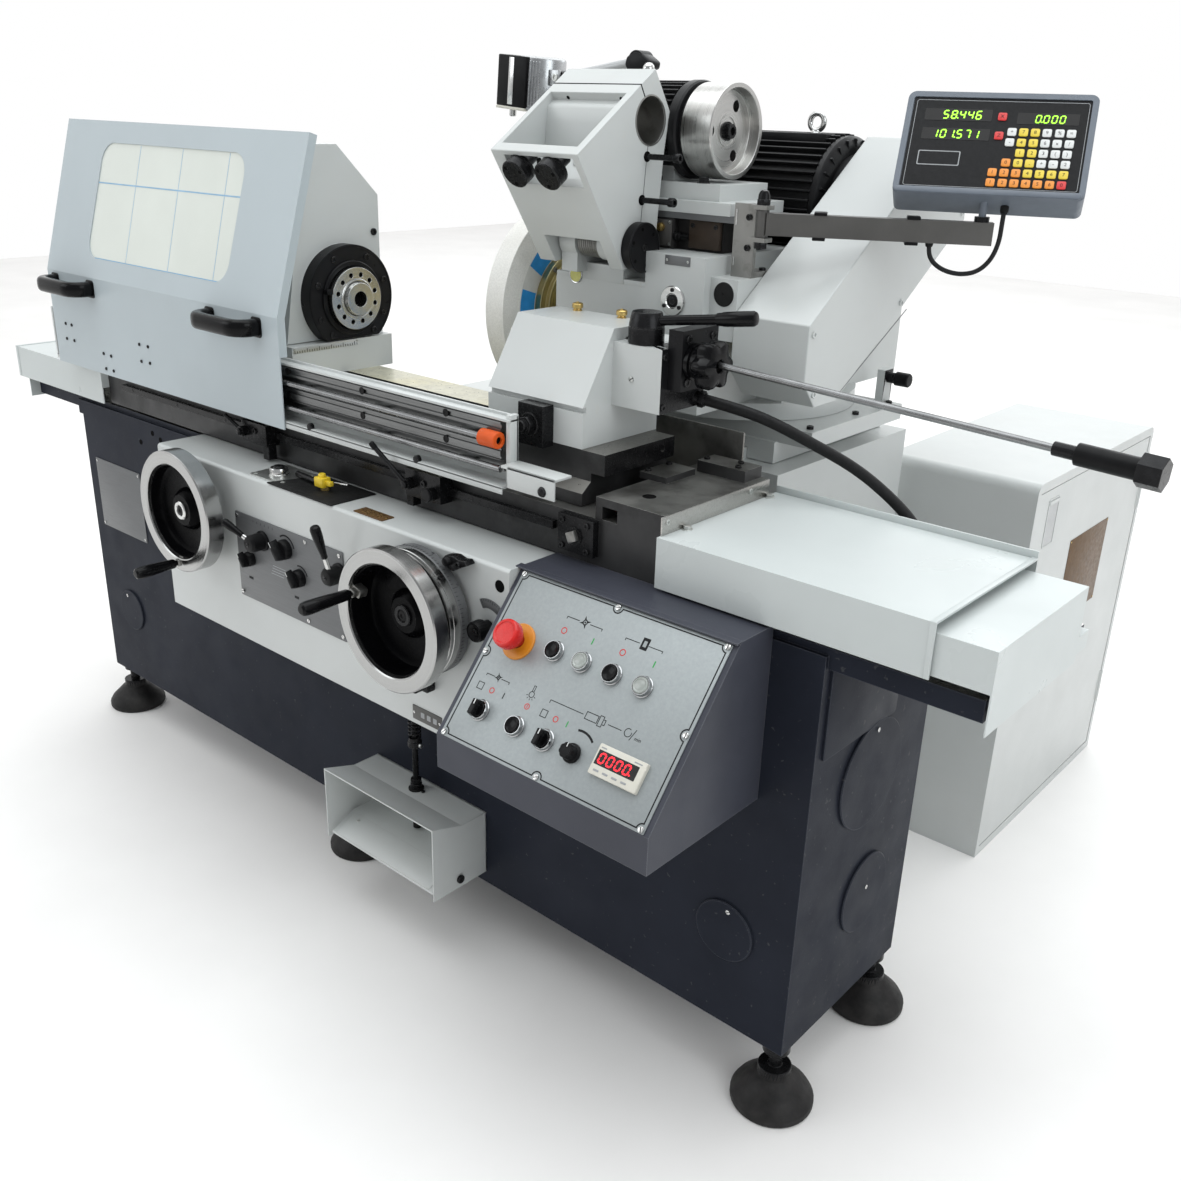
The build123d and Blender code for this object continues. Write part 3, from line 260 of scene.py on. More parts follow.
RUBBER = material("black_rubber", (0.009, 0.009, 0.009), 0.60, vary=0.3, scale=50, bump=0.3, bump_scale=900, spec=0.2)
HOSE = material("hose_rubber", (0.009, 0.009, 0.0095), 0.48, vary=0.3, scale=200, bump=0.4, bump_scale=1300, spec=0.22)
LEAD = material("lead_jacket", (0.010, 0.010, 0.011), 0.46, vary=0.2, scale=60, bump=0.08, bump_scale=900, spec=0.25)
ABRASIVE = material("bonded_abrasive", (0.86, 0.85, 0.81), 0.85, vary=0.08, scale=400, bump=0.5, bump_scale=1400, specks=((0.52, 0.50, 0.46), 0.5, 900), grime_and_reflection=((0.62, 0.60, 0.55), 0.45, 12))
BLOTTER_BLUE = material("blotter_blue", (0.02, 0.28, 0.68), 0.7, vary=0.10, scale=60, bump=0.1, bump_scale=900)
BLOTTER_WHITE = material("blotter_paper", (0.66, 0.66, 0.63), 0.8, vary=0.06, scale=60, bump=0.1, bump_scale=900)
FLANGE = material("flange_steel", (0.52, 0.45, 0.24), 0.34, 1.0, vary=0.12, scale=900, rings=(-800, 378, 897, "X"), bump=0.08, bump_scale=1400)
ORANGE = material("orange_rubber", (0.62, 0.085, 0.008), 0.5, vary=0.08, scale=60, bump=0.05, bump_scale=900, spec=0.3)
YELLOW = material("yellow_plastic", (0.78, 0.56, 0.03), 0.35, vary=0.06, scale=80, bump=0.04, bump_scale=900)
BROWN = material("brown_plate", (0.115, 0.062, 0.024), 0.42, vary=0.15, scale=60, bump=0.05, bump_scale=700, spec=0.3)
TERMINAL = material("dark_brown_block", (0.040, 0.028, 0.020), 0.45, vary=0.15, scale=60, bump=0.05, bump_scale=700, spec=0.25)
GREY_PLATE = material("grey_plate", (0.15, 0.154, 0.158), 0.42, 0.5, vary=0.06, scale=4, stretch=(4, 4, 160), bump=0.05, bump_scale=5, grime_and_reflection=((0.11, 0.114, 0.118), 0.4, 8))
PANEL = material("panel_silver", (0.305, 0.330, 0.335), 0.42, 0.45, vary=0.05, scale=220, bump=0.03, bump_scale=900, grime_and_reflection=((0.265, 0.285, 0.29), 0.4, 7))
COLLAR = material("collar_metal", (0.40, 0.405, 0.41), 0.20, 1.0, vary=0.06, scale=60, bump=0.03, bump_scale=900, rough_vary=0.05)
PRINT = material("black_print", (0.009, 0.009, 0.010), 0.55, vary=0.2, scale=150, spec=0.2)
RED_PRINT = material("red_print", (0.55, 0.02, 0.02), 0.5, vary=0.08, scale=150)
GREEN_PRINT = material("green_print", (0.02, 0.32, 0.06), 0.5, vary=0.08, scale=150)
RED = material("red_plastic", (0.60, 0.013, 0.011), 0.26, vary=0.06, scale=60, coat=0.12, spec=0.35)
RED_DEEP = material("red_plastic_neck", (0.35, 0.010, 0.008), 0.3, vary=0.06, scale=60)
AMBER = material("amber_ring", (0.62, 0.22, 0.01), 0.4, vary=0.06, scale=80)
CLEAR = material("clear_cap", (0.62, 0.66, 0.62), 0.12, vary=0.05, scale=60, transmission=0.55, coat=0.5)
CREAM = material("cream_bezel", (0.62, 0.60, 0.53), 0.40, vary=0.04, scale=80, bump=0.04, bump_scale=1200)
SCREEN = material("dark_screen", (0.007, 0.006, 0.006), 0.18, vary=0.2, scale=40, coat=0.1, spec=0.2)
RED_LED = material("red_segments", (1.0, 0.008, 0.022), 0.4, vary=0.05, scale=300, emit=1.7)
GREEN_LED = material("green_segments", (0.35, 1.0, 0.04), 0.4, vary=0.05, scale=300, emit=1.4)
DISPLAY = material("display_case", (0.085, 0.09, 0.095), 0.46, vary=0.10, scale=30, bump=0.12, bump_scale=1200)
KEY_WHITE = material("key_white", (0.66, 0.67, 0.66), 0.42, vary=0.04, scale=90)
KEY_GREY = material("key_grey", (0.30, 0.31, 0.32), 0.42, vary=0.04, scale=90)
KEY_YELLOW = material("key_yellow", (0.72, 0.55, 0.05), 0.42, vary=0.04, scale=90)
KEY_ORANGE = material("key_orange", (0.75, 0.26, 0.03), 0.42, vary=0.04, scale=90)
KEY_RED = material("key_red", (0.60, 0.03, 0.03), 0.42, vary=0.04, scale=90)
KEY_BLUE = material("key_blue", (0.05, 0.16, 0.45), 0.42, vary=0.04, scale=90)
WINDOW = material("guard_pane", (0.72, 0.755, 0.70), 0.16, vary=0.03, scale=5, alpha=0.9, coat=0.4, grime_and_reflection=((0.78, 0.80, 0.74), 0.5, 4))
LINE_BLUE = material("film_line", (0.24, 0.42, 0.60), 0.4, vary=0.1, scale=40)
SIGHT = material("sight_glass", (0.62, 0.60, 0.16), 0.14, vary=0.12, scale=90, coat=0.4)
# near-black: painted shade inside holes, bores, screw slots and vent openings; also the dark line of joints and gaps
DARK_HOLE = material("dark_hole", (0.004, 0.004, 0.004), 0.8, vary=0.3, scale=90, spec=0.05)
GLASS = material("lamp_glass", (0.80, 0.82, 0.82), 0.10, vary=0.03, scale=60, coat=0.6)
BELT = material("belt_rubber", (0.012, 0.012, 0.012), 0.6, vary=0.3, scale=120, bump=0.2, bump_scale=900, spec=0.2)
TURNED_T = material("turned_rim_left", (0.41, 0.41, 0.405), 0.22, 1.0, vary=0.05, scale=400, rings=(-1189, -140, 545, "Y"), bump=0.04, bump_scale=1200, rough_vary=0.05)
TURNED_I = material("turned_rim_right", (0.41, 0.41, 0.405), 0.22, 1.0, vary=0.05, scale=400, rings=(-605, -140, 525, "Y"), bump=0.04, bump_scale=1200, rough_vary=0.05)
TURNED_P = material("turned_pulley", (0.54, 0.535, 0.52), 0.30, 1.0, vary=0.06, scale=160, rings=(-480, 397, 1183, "X"), bump=0.012, bump_scale=900, rough_vary=0.06, grime_and_reflection=((0.36, 0.35, 0.33), 0.4, 14))
TURNED_W = material("turned_spindle", (0.54, 0.54, 0.53), 0.24, 1.0, vary=0.06, scale=400, rings=(-1050, 140, 897, "X"), bump=0.05, bump_scale=1300, rough_vary=0.05)


# ------------------------------------------------------------- mesh tools
def frame_of(origin, u, v):
    """Local axes u, v and u x v at a point, all in machine millimetres."""
    u, v = Vector(u).normalized(), Vector(v).normalized()
    w = u.cross(v).normalized()
    v = w.cross(u).normalized()
    m = Matrix((u, v, w)).transposed().to_4x4()
    return Matrix.Translation(Vector(origin)) @ m


def axis_frame(origin, axis):
    """Local z along an axis."""
    w = Vector(axis).normalized()
    u = Vector((0, 0, 1)).cross(w)
    if u.length < 1e-4:
        u = Vector((1, 0, 0))
    u.normalize()
    return Matrix.Translation(Vector(origin)) @ Matrix((u, w.cross(u), w)).transposed().to_4x4()


FRONT = lambda x, y, z: frame_of((x, y, z), (1, 0, 0), (0, 0, 1))       # w towards the operator
RIGHT = lambda x, y, z: frame_of((x, y, z), (0, 1, 0), (0, 0, 1))       # w to the right
TOP = lambda x, y, z: frame_of((x, y, z), (1, 0, 0), (0, 1, 0))         # w up


def rrect(cx, cy, w, h, r, n=5):
    """Corner points of a rounded rectangle, counter-clockwise."""
    r = max(0.001, min(r, w / 2 - 0.001, h / 2 - 0.001))
    pts = []
    for sx, sy, a0 in ((1, 1, 0), (-1, 1, 90), (-1, -1, 180), (1, -1, 270)):
        for k in range(n + 1):
            a = math.radians(a0 + 90 * k / n)
            pts.append((cx + sx * (w / 2 - r) + r * math.cos(a), cy + sy * (h / 2 - r) + r * math.sin(a)))
    return pts


def circle(cx, cy, r, n=32, a0=0.0, a1=360.0, close=True):
    k = n if close and abs(a1 - a0 - 360) < 1e-6 else n + 1
    return [(cx + r * math.cos(math.radians(a0 + (a1 - a0) * i / n)), cy + r * math.sin(math.radians(a0 + (a1 - a0) * i / n))) for i in range(k)]


def arc_strip(cx, cy, r0, r1, a0, a1, n=24):
    return circle(cx, cy, r1, n, a0, a1, False) + list(reversed(circle(cx, cy, r0, n, a0, a1, False)))


class Piece:
    """Gathers shapes, in machine millimetres, into one mesh object with its own materials."""

    def __init__(self, name):
        self.name = name
        self.bm = bmesh.new()
        self.mats = []

    def _index(self, m):
        if m not in self.mats:
            self.mats.append(m)
        return self.mats.index(m)

    def _take(self, t, mat, M, bevel=0.0, segments=2):
        bmesh.ops.recalc_face_normals(t, faces=t.faces[:])
        if bevel > 0:
            sharp = [e for e in t.edges if len(e.link_faces) == 2 and e.calc_face_angle(0) > 0.5]
            if sharp:
                bmesh.ops.bevel(t, geom=sharp, offset=bevel, segments=segments, profile=0.5, affect="EDGES", clamp_overlap=True)
        if M is not None:
            bmesh.ops.transform(t, matrix=M, verts=t.verts[:])
            if M.to_3x3().determinant() < 0:
                bmesh.ops.reverse_faces(t, faces=t.faces[:])
        i = self._index(mat)
        for f in t.faces:
            f.material_index = i
        me = bpy.data.meshes.new("t")
        t.to_mesh(me)
        t.free()
        self.bm.from_mesh(me)
        bpy.data.meshes.remove(me)
        return self

    def prism(self, pts, w0, w1, mat, M=None, bevel=0.0, top=1.0, segments=2):
        """Outline in u, v, pulled from w0 to w1; top scales the far end about the outline's middle."""
        t = bmesh.new()
        cx = sum(p[0] for p in pts) / len(pts)
        cy = sum(p[1] for p in pts) / len(pts)
        lo = [t.verts.new((x, y, w0)) for x, y in pts]
        hi = [t.verts.new((cx + (x - cx) * top, cy + (y - cy) * top, w1)) for x, y in pts]
        n = len(pts)
        t.faces.new(list(reversed(lo)))
        t.faces.new(hi)
        for i in range(n):
            t.faces.new((lo[i], lo[(i + 1) % n], hi[(i + 1) % n], hi[i]))
        return self._take(t, mat, M, bevel, segments)

    def box(self, x0, x1, y0, y1, z0, z1, mat, bevel=0.0, M=None, segments=2):
        return self.prism([(x0, y0), (x1, y0), (x1, y1), (x0, y1)], z0, z1, mat, M, bevel, segments=segments)

    def lathe(self, profile, M, mat, seg=48, closed=False, shape=None, bevel=0.0):
        """Profile of (radius, height) turned about local z. shape(angle, k) scales ring k."""
        t = bmesh.new()
        rings = []
        for k, (r, h) in enumerate(profile):
            if r < 1e-6:
                rings.append([t.verts.new((0, 0, h))])
            else:
                ring = []
                for i in range(seg):
                    a = 2 * math.pi * i / seg
                    s = shape(a, k) if shape else 1.0
                    ring.append(t.verts.new((r * s * math.cos(a), r * s * math.sin(a), h)))
                rings.append(ring)
        pairs = list(zip(rings[:-1], rings[1:]))
        if closed:
            pairs.append((rings[-1], rings[0]))
        for a, b in pairs:
            for i in range(seg):
                j = (i + 1) % seg
                if len(a) == 1 and len(b) == 1:
                    break
                if len(a) == 1:
                    t.faces.new((a[0], b[i], b[j]))
                elif len(b) == 1:
                    t.faces.new((a[i], a[j], b[0]))
                else:
                    t.faces.new((a[i], a[j], b[j], b[i]))
        if not closed:
            if len(rings[0]) > 1:
                t.faces.new(list(reversed(rings[0])))
            if len(rings[-1]) > 1:
                t.faces.new(rings[-1])
        return self._take(t, mat, M, bevel)

    def tube(self, pts, r, mat, seg=12, cap=True):
        """Round tube along points in machine millimetres; r may be a list."""
        t = bmesh.new()
        pts = [Vector(p) for p in pts]
        rs = r if isinstance(r, (list, tuple)) else [r] * len(pts)
        tang = []
        for i in range(len(pts)):
            a = pts[max(0, i - 1)]
            c = pts[min(len(pts) - 1, i + 1)]
            tang.append((c - a).normalized())
        ref = Vector((0, 0, 1)) if abs(tang[0].z) < 0.9 else Vector((1, 0, 0))
        u = tang[0].cross(ref).normalized()
        rings = []
        for i, p in enumerate(pts):
            if i:
                axis = tang[i - 1].cross(tang[i])
                if axis.length > 1e-9:
                    u = Matrix.Rotation(tang[i - 1].angle(tang[i]), 3, axis.normalized()) @ u
            v = tang[i].cross(u).normalized()
            rings.append([t.verts.new(p + (u * math.cos(2 * math.pi * k / seg) + v * math.sin(2 * math.pi * k / seg)) * rs[i]) for k in range(seg)])
        for a, b in zip(rings[:-1], rings[1:]):
            for i in range(seg):
                j = (i + 1) % seg
                t.faces.new((a[i], a[j], b[j], b[i]))
        if cap:
            t.faces.new(list(reversed(rings[0])))
            t.faces.new(rings[-1])
        return self._take(t, mat, None)

    def cap_screw(self, at, axis, r, h, mat=None, socket=True):
        """Socket head screw standing on a face."""
        mat = mat or BLACK_OXIDE
        M = axis_frame(at, axis)
        hexed = lambda a, k: 1.0 if k < 4 else 0.866 / math.cos((a % (math.pi / 3)) - math.pi / 6)
        prof = [(r, 0), (r, h * 0.84), (r * 0.92, h), (r * 0.66, h), (r * 0.60, h), (r * 0.60, h * 0.45), (0, h * 0.4)]
        if not socket:
            prof = [(r, 0), (r, h * 0.6), (r * 0.8, h * 0.92), (0, h)]
            return self.lathe(prof, M, mat, 20)
        return self.lathe(prof, M, mat, 24, shape=hexed)

    def slot_screw(self, at, axis, r, h, mat=None, turn=0.6):
        """Low domed screw with a cut across it; a near-black disc under the cut is painted shade of the slot."""
        mat = mat or ZINC
        M = axis_frame(at, axis) @ Matrix.Rotation(turn, 4, "Z")
        c = r * 0.13
        for s in (1, -1):
            half = [(x, y) for x, y in circle(0, 0, r, 16, 0, 180, False)]
            half = [(x, max(y, c)) for x, y in half]
            m2 = M if s > 0 else M @ Matrix.Rotation(math.pi, 4, "Z")
            self.prism(half, 0, h, mat, m2, bevel=min(r * 0.12, h * 0.3))
        return self.prism(circle(0, 0, r * 0.94, 16), 0, h * 0.45, DARK_HOLE, M)

    def hex_bolt(self, at, axis, r, h, mat=None, turn=0.0, washer=0.0):
        mat = mat or BLACK_OXIDE
        M = axis_frame(at, axis) @ Matrix.Rotation(turn, 4, "Z")
        if washer:
            self.lathe([(r * 1.25, 0), (r * 1.25, washer), (r * 1.2, washer + 0.3), (0, washer + 0.3)], M, ZINC, 24)
        return self.prism(circle(0, 0, r, 6), washer, h, mat, M, bevel=r * 0.1)

    def text(self, body, size, M, mat, depth=0.3):
        """Plain figures, standing slightly proud."""
        cu = bpy.data.curves.new("t", "FONT")
        cu.body = body
        cu.size = size
        cu.align_x = "CENTER"
        cu.align_y = "CENTER"
        cu.extrude = depth / 2
        cu.resolution_u = 3
        ob = bpy.data.objects.new("t", cu)
        scene.collection.objects.link(ob)
        dg = bpy.context.evaluated_depsgraph_get()
        me = bpy.data.meshes.new_from_object(ob.evaluated_get(dg))
        bpy.data.objects.remove(ob)
        bpy.data.curves.remove(cu)
        t = bmesh.new()
        t.from_mesh(me)
        bpy.data.meshes.remove(me)
        bmesh.ops.remove_doubles(t, verts=t.verts[:], dist=1e-4)
        return self._take(t, mat, M)

    def done(self, body, slot=None, replaces=(), angle=32.0, ride=True):
        me = bpy.data.meshes.new(self.name)
        scale = Matrix.Scale(0.001, 4) @ Matrix.Translation((OX, OY, OZ))
        bmesh.ops.transform(self.bm, matrix=scale, verts=self.bm.verts[:])
        self.bm.to_mesh(me)
        self.bm.free()
        for m in self.mats:
            me.materials.append(m)
        me.shade_smooth()
        me.set_sharp_from_angle(angle=math.radians(angle))
        ob = bpy.data.objects.new(self.name, me)
        scene.collection.objects.link(ob)
        if ride:
            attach(ob, body)
        if replaces:
            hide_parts(*([replaces] if isinstance(replaces, str) else replaces))
        return ob


def dress(node, mats, rule=None, bevel=1.2, segments=2, angle=28.0):
    """A CAD node keeps its mesh and gets its finish, with softened edges."""
    ob = NODES[node]
    me = ob.data
    mats = mats if isinstance(mats, (list, tuple)) else [mats]
    me.materials.clear()
    for m in mats:
        me.materials.append(m)
    for f in me.polygons:
        i = 0
        if rule:
            c = f.center
            i = rule(c.x * 1000 - OX, c.y * 1000 - OY, c.z * 1000 - OZ, f.normal)
        f.material_index = i
        f.use_smooth = True
    w = ob.modifiers.new("weld", "WELD")
    w.merge_threshold = 0.00002
    d = ob.modifiers.new("flats", "DECIMATE")
    d.decimate_type = "DISSOLVE"
    d.angle_limit = math.radians(0.6)
    d.delimit = {"MATERIAL"}
    if bevel:
        b = ob.modifiers.new("edges", "BEVEL")
        b.width = bevel / 1000.0
        b.segments = segments
        b.limit_method = "ANGLE"
        b.angle_limit = math.radians(angle)
        b.harden_normals = False
        b.miter_outer = "MITER_SHARP"
    n = ob.modifiers.new("normals", "WEIGHTED_NORMAL")
    n.weight = 60
    n.keep_sharp = False
    return ob


# ---------------------------------------------------------- hose and lead
def spline_points(route):
    """Points along a smooth curve with the route's points as its control points."""
    cu = bpy.data.curves.new("route", "CURVE")
    cu.dimensions = "3D"
    cu.resolution_u = 24
    sp = cu.splines.new("NURBS")
    sp.points.add(len(route) - 1)
    for q, p in zip(sp.points, route):
        q.co = (*p, 1.0)
    sp.order_u = 3
    sp.use_endpoint_u = True
    ob = bpy.data.objects.new("route", cu)
    scene.collection.objects.link(ob)
    dg = bpy.context.evaluated_depsgraph_get()
    me = bpy.data.meshes.new_from_object(ob.evaluated_get(dg))
    pts = [v.co.copy() for v in me.vertices]
    bpy.data.objects.remove(ob)
    bpy.data.curves.remove(cu)
    bpy.data.meshes.remove(me)
    return pts


def to_mm(v):
    return Vector((v.x * 1000 - OX, v.y * 1000 - OY, v.z * 1000 - OZ))


HOSE_ROUTE = [P(-333, 190, 835), P(-293, 203, 829), P(-248, 226, 815), P(-192, 255, 787), P(-137, 285, 757), P(-86, 299, 722), P(-46, 302, 690), P(-30, 302, 664)]
hose_points = spline_points(HOSE_ROUTE)
hose = Piece("hydraulic_hose_run")
hose.tube([to_mm(p) for p in hose_points], 8.0, HOSE, 20)
hose = hose.done(None, "rubber_black", "hydraulic_hose", ride=False)
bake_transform(hose)

ARM_A = math.radians(29.9)
DRO_C = Vector((-98.0, 491.0, 1178.0))
DRO_R = Vector((math.cos(math.radians(21.1)), math.sin(math.radians(21.1)), 0))
DRO_N = Vector((math.sin(math.radians(21.1)) * math.cos(math.radians(33.5)), -math.cos(math.radians(21.1)) * math.cos(math.radians(33.5)), math.sin(math.radians(33.5))))
DRO_U = DRO_N.cross(DRO_R)


def on_arm(u, v, z):
    return (-346 + u * math.cos(ARM_A) - v * math.sin(ARM_A), 318 + u * math.sin(ARM_A) + v * math.cos(ARM_A), z)


LEAD_END = DRO_C + DRO_R * 26 - DRO_U * 77 - DRO_N * 24
LEAD_ROUTE = [P(*q) for q in (on_arm(231, 0, 1050), on_arm(231, 0, 1037), on_arm(239, 0.5, 1023), on_arm(256, 1, 1013), on_arm(278, 1.5, 1009), on_arm(300, 0, 1014),
                              on_arm(315, -5, 1031), on_arm(321.5, -11, 1055), LEAD_END - DRO_U * 24, LEAD_END)]
lead_points = spline_points(LEAD_ROUTE)
lead = Piece("readout_lead_run")
lead.tube([to_mm(p) for p in lead_points], 3.2, LEAD, 14)
lead = lead.done(None, "rubber_black", "dro_cable", ride=False)
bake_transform(lead)

# --------------------------------------------------------- finishes of CAD nodes
dress("bed", [BED, STEEL, BLACK_PAINT, WHITE], lambda x, y, z, n: 3 if y > 318.5 else ((2 if x > 0.5 or x < -1812 else 1) if z > 621.0 and y < 300 or z > 701 else 0), 3.0, 3)
dress("levelling_feet", [IRON, BLACK_OXIDE], lambda x, y, z, n: 1 if z > -50 else 0, 1.5)
dress("fixed_end_covers", COVER, None, 1.0)
dress("moving_end_covers", COVER, None, 1.0)
dress("apron", [WHITE, ZINC], None, 2.0)
dress("console_box", CONSOLE, None, 2.0, 3)
dress("pedal_box", [WHITE, ZINC], lambda x, y, z, n: 1 if x < -858.1 or x > -582.9 else 0, 1.0)
dress("cabinet", [WHITE, ZINC], lambda x, y, z, n: 1 if -335.5 < x < -269 and 830 < y < 1362 and 50 < z < 545 else 0, 1.2)
dress("cabinet_door", WHITE, None, 1.2)
dress("lower_table", [TABLE_SIDE, DARK_STEEL, BLACK_OXIDE], lambda x, y, z, n: 2 if y < -0.5 else (1 if n.z > 0.7 else 0), 1.2)
dress("trip_dog_left", BLACK_OXIDE, None, 0.8)
dress("trip_dog_right", BLACK_OXIDE, None, 0.8)
dress("upper_table", [SCRAPED_AND_LAMP_REFLECTION, WHITE, DARK_STEEL, TABLE_SIDE, BLACK_OXIDE], lambda x, y, z, n: 1 if z > 772.2 and x < -1000 and y < 230 else (2 if y > 240 else (4 if x > -412 and n.x > 0.5 else (0 if n.z > 0.7 else 3))), 1.2)
dress("guard_rail", [ALU, ORANGE, WHITE, BRIGHT], lambda x, y, z, n: 1 if -564.2 < x < -537.8 and -48 < y < -24.5 and z > 770 and abs(y + 36) > 5.2 else (2 if y > -15.1 or x > -560 else 0), 0.5)
dress("guard_shell", SHEET, None, 0.8, 2, 12.0)
dress("guard_window", WINDOW, None, 0.4)
dress("guard_handles", BLACK, None, 1.5, 3)
dress("workhead_body", [WHITE, BLACK_PAINT], lambda x, y, z, n: 1 if x > -1074.8 else 0, 3.0, 3)
dress("work_spindle", TURNED_W, None, 0.8)
dress("tailstock_body", [WHITE, BLACK_PAINT, DARK_STEEL, BRASS, BLACK_OXIDE], lambda x, y, z, n: 3 if z > 931.2 and x < -430 else (4 if y < 39.9 and -533 < x < -483 else (1 if x > -346.2 and y < 196 and z > 849 else (4 if x > -363.1 else (4 if y < 17.9 else (2 if y < 39.8 and z < 823 else 0))))), 1.6)
dress("tailstock_quill", STEEL, None, 0.6)
dress("quill_lever", BLACK_PAINT, None, 1.0, 3)
dress("star_knob", BAKELITE, None, 1.5, 3)
dress("ejector_rod", [ROD, BLACK, BLACK_OXIDE], lambda x, y, z, n: 2 if x > 271.5 else (1 if x > 203 else (2 if x > 172 else 0)), 0.8)
dress("wheel_slide", [WHITE, BLACK_OXIDE], lambda x, y, z, n: 1 if x > -305.2 and z > 790 else 0, 1.6)
dress("wheelhead_body", [WHITE, BLACK_PAINT, DARK_STEEL, BRIGHT], lambda x, y, z, n: 1 if (x > -530 and (y - 265) ** 2 + (z - 1020) ** 2 < 37.5 ** 2 and x < -513) else (2 if (z > 988.4 and x > -395 and y < 375) else (3 if (z > 1015.2 and y > 440) or (x < -695 and z > 1000) else 0)), 3.0, 3)
dress("belt_guard", WHITE, None, 2.0, 3)
dress("grinding_wheel", ABRASIVE, None, 1.0)
dress("wheel_spindle", [FLANGE, BLACK_OXIDE], lambda x, y, z, n: 1 if x < -812.5 else 0, 1.2)
dress("motor_pulley", STEEL, None, 0.6)
dress("drive_belt", BELT, None, 0.5)
dress("internal_bracket", [WHITE, DARK_STEEL], lambda x, y, z, n: 1 if (y - 287) ** 2 + (z - 1195) ** 2 < 33.6 ** 2 or ((y - 265) ** 2 + (z - 1020) ** 2 < 15 ** 2) else 0, 2.0, 3)
dress("internal_motor", [MOTOR, WHITE, IRON, GREY_PLATE], lambda x, y, z, n: 0 if (y - 397) ** 2 + (z - 1183) ** 2 < 64 ** 2 and z > 1121 else (1 if z > 1070.5 else (3 if z > 1060.8 else 2)), 1.5)
dress("internal_motor_pulley", TURNED_P, None, 0.8)
dress("dro_arm", ARM_GREY, None, 1.2)
dress("dro_display", [BEZEL, BLACK_OXIDE], lambda x, y, z, n: 1 if z < 1088 else 0, 2.0, 3)
dress("lamp_arm", [LAMP_GREY_AND_RECESS_SHADE, BLACK_PAINT], lambda x, y, z, n: 1 if z < 1059 or (x - (-712)) ** 2 + (z - 1282) ** 2 < 17 ** 2 or x < -868 else 0, 1.0)
dress("lamp_head", [CAST_ALU, BLACK], lambda x, y, z, n: 1 if x < -979 else 0, 1.5)
dress("traverse_handwheel", TURNED_T, None, 1.0)
dress("infeed_handwheel", TURNED_I, None, 1.0)
dress("start_lever", [BRIGHT, BLACK], None, 0.8)
dress("feed_lever", [BRIGHT, BLACK], None, 0.8)
dress("speed_knob", BLACK, None, 0.8)
dress("dwell_knob_left", BLACK, None, 0.8)
dress("dwell_knob_right", BLACK, None, 0.8)
dress("feed_knob", BLACK, None, 0.8)
dress("foot_pedal", WHITE, None, 0.8)
dress("pedal_rod", BLACK_OXIDE, None, 0.5)
dress("main_motor", MOTOR, None, 1.5)
dress("emergency_stop", RED, None, 1.0)
for k in range(5):
    dress(f"push_button_{k + 1}", CLEAR if k in (1, 3) else BAKELITE, None, 0.8)
dress("selector_left", BAKELITE, None, 0.6)
dress("selector_right", BAKELITE, None, 0.6)
dress("speed_potentiometer", BAKELITE, None, 0.6)

# ------------------------------------------------------------------ small tools
def strip(piece, pts, width, w0, w1, mat, M, closed=False):
    """A flat line of even width along points in u, v."""
    n = len(pts)
    t = bmesh.new()
    rows = []
    for i in range(n):
        a = Vector(pts[(i - 1) % n] if closed or i > 0 else pts[i])
        b = Vector(pts[i])
        c = Vector(pts[(i + 1) % n] if closed or i < n - 1 else pts[i])
        d0 = (b - a).normalized() if (b - a).length > 1e-9 else (c - b).normalized()
        d1 = (c - b).normalized() if (c - b).length > 1e-9 else d0
        n0, n1 = Vector((-d0.y, d0.x)), Vector((-d1.y, d1.x))
        m = (n0 + n1)
        m = m.normalized() if m.length > 1e-6 else n0
        k = width / 2 / max(0.4, m.dot(n0))
        p, q = b + m * k, b - m * k
        rows.append([t.verts.new((p.x, p.y, w0)), t.verts.new((p.x, p.y, w1)), t.verts.new((q.x, q.y, w1)), t.verts.new((q.x, q.y, w0))])
    pairs = [(i, (i + 1) % n) for i in range(n if closed else n - 1)]
    for i, j in pairs:
        for k in range(4):
            t.faces.new((rows[i][k], rows[i][(k + 1) % 4], rows[j][(k + 1) % 4], rows[j][k]))
    if not closed:
        t.faces.new(rows[0])
        t.faces.new(list(reversed(rows[-1])))
    return piece._take(t, mat, M)


SEGMENTS = {"0": "abcdef", "1": "bc", "2": "abged", "3": "abgcd", "4": "fgbc", "5": "afgcd", "6": "afgedc", "7": "abc", "8": "abcdefg", "9": "abcdfg", "-": "g", " ": ""}


def digits(piece, text, x0, y0, h, w, gap, thick, w0, w1, mat, M, slant=0.12):
    """Seven-segment figures standing on x0, y0."""
    x = x0
    for ch in text:
        if ch == ".":
            piece.prism(circle(x - gap * 0.45, y0 + thick / 2, thick * 0.6, 10), w0, w1, mat, M)
            continue
        s = thick / 2
        runs = {"a": ((0, h), (w, h)), "b": ((w, h), (w, h / 2)), "c": ((w, h / 2), (w, 0)), "d": ((0, 0), (w, 0)), "e": ((0, h / 2), (0, 0)), "f": ((0, h), (0, h / 2)), "g": ((0, h / 2), (w, h / 2))}
        for k in SEGMENTS.get(ch, ""):
            (ax, ay), (bx, by) = runs[k]
            d = Vector((bx - ax, by - ay)).normalized()
            nrm = Vector((-d.y, d.x))
            a = Vector((ax, ay)) + d * (s * 0.35)
            b = Vector((bx, by)) - d * (s * 0.35)
            pts = [a, a + d * s + nrm * s, b - d * s + nrm * s, b, b - d * s - nrm * s, a + d * s - nrm * s]
            piece.prism([(x + p.x + slant * p.y, y0 + p.y) for p in pts], w0, w1, mat, M)
        x += w + gap


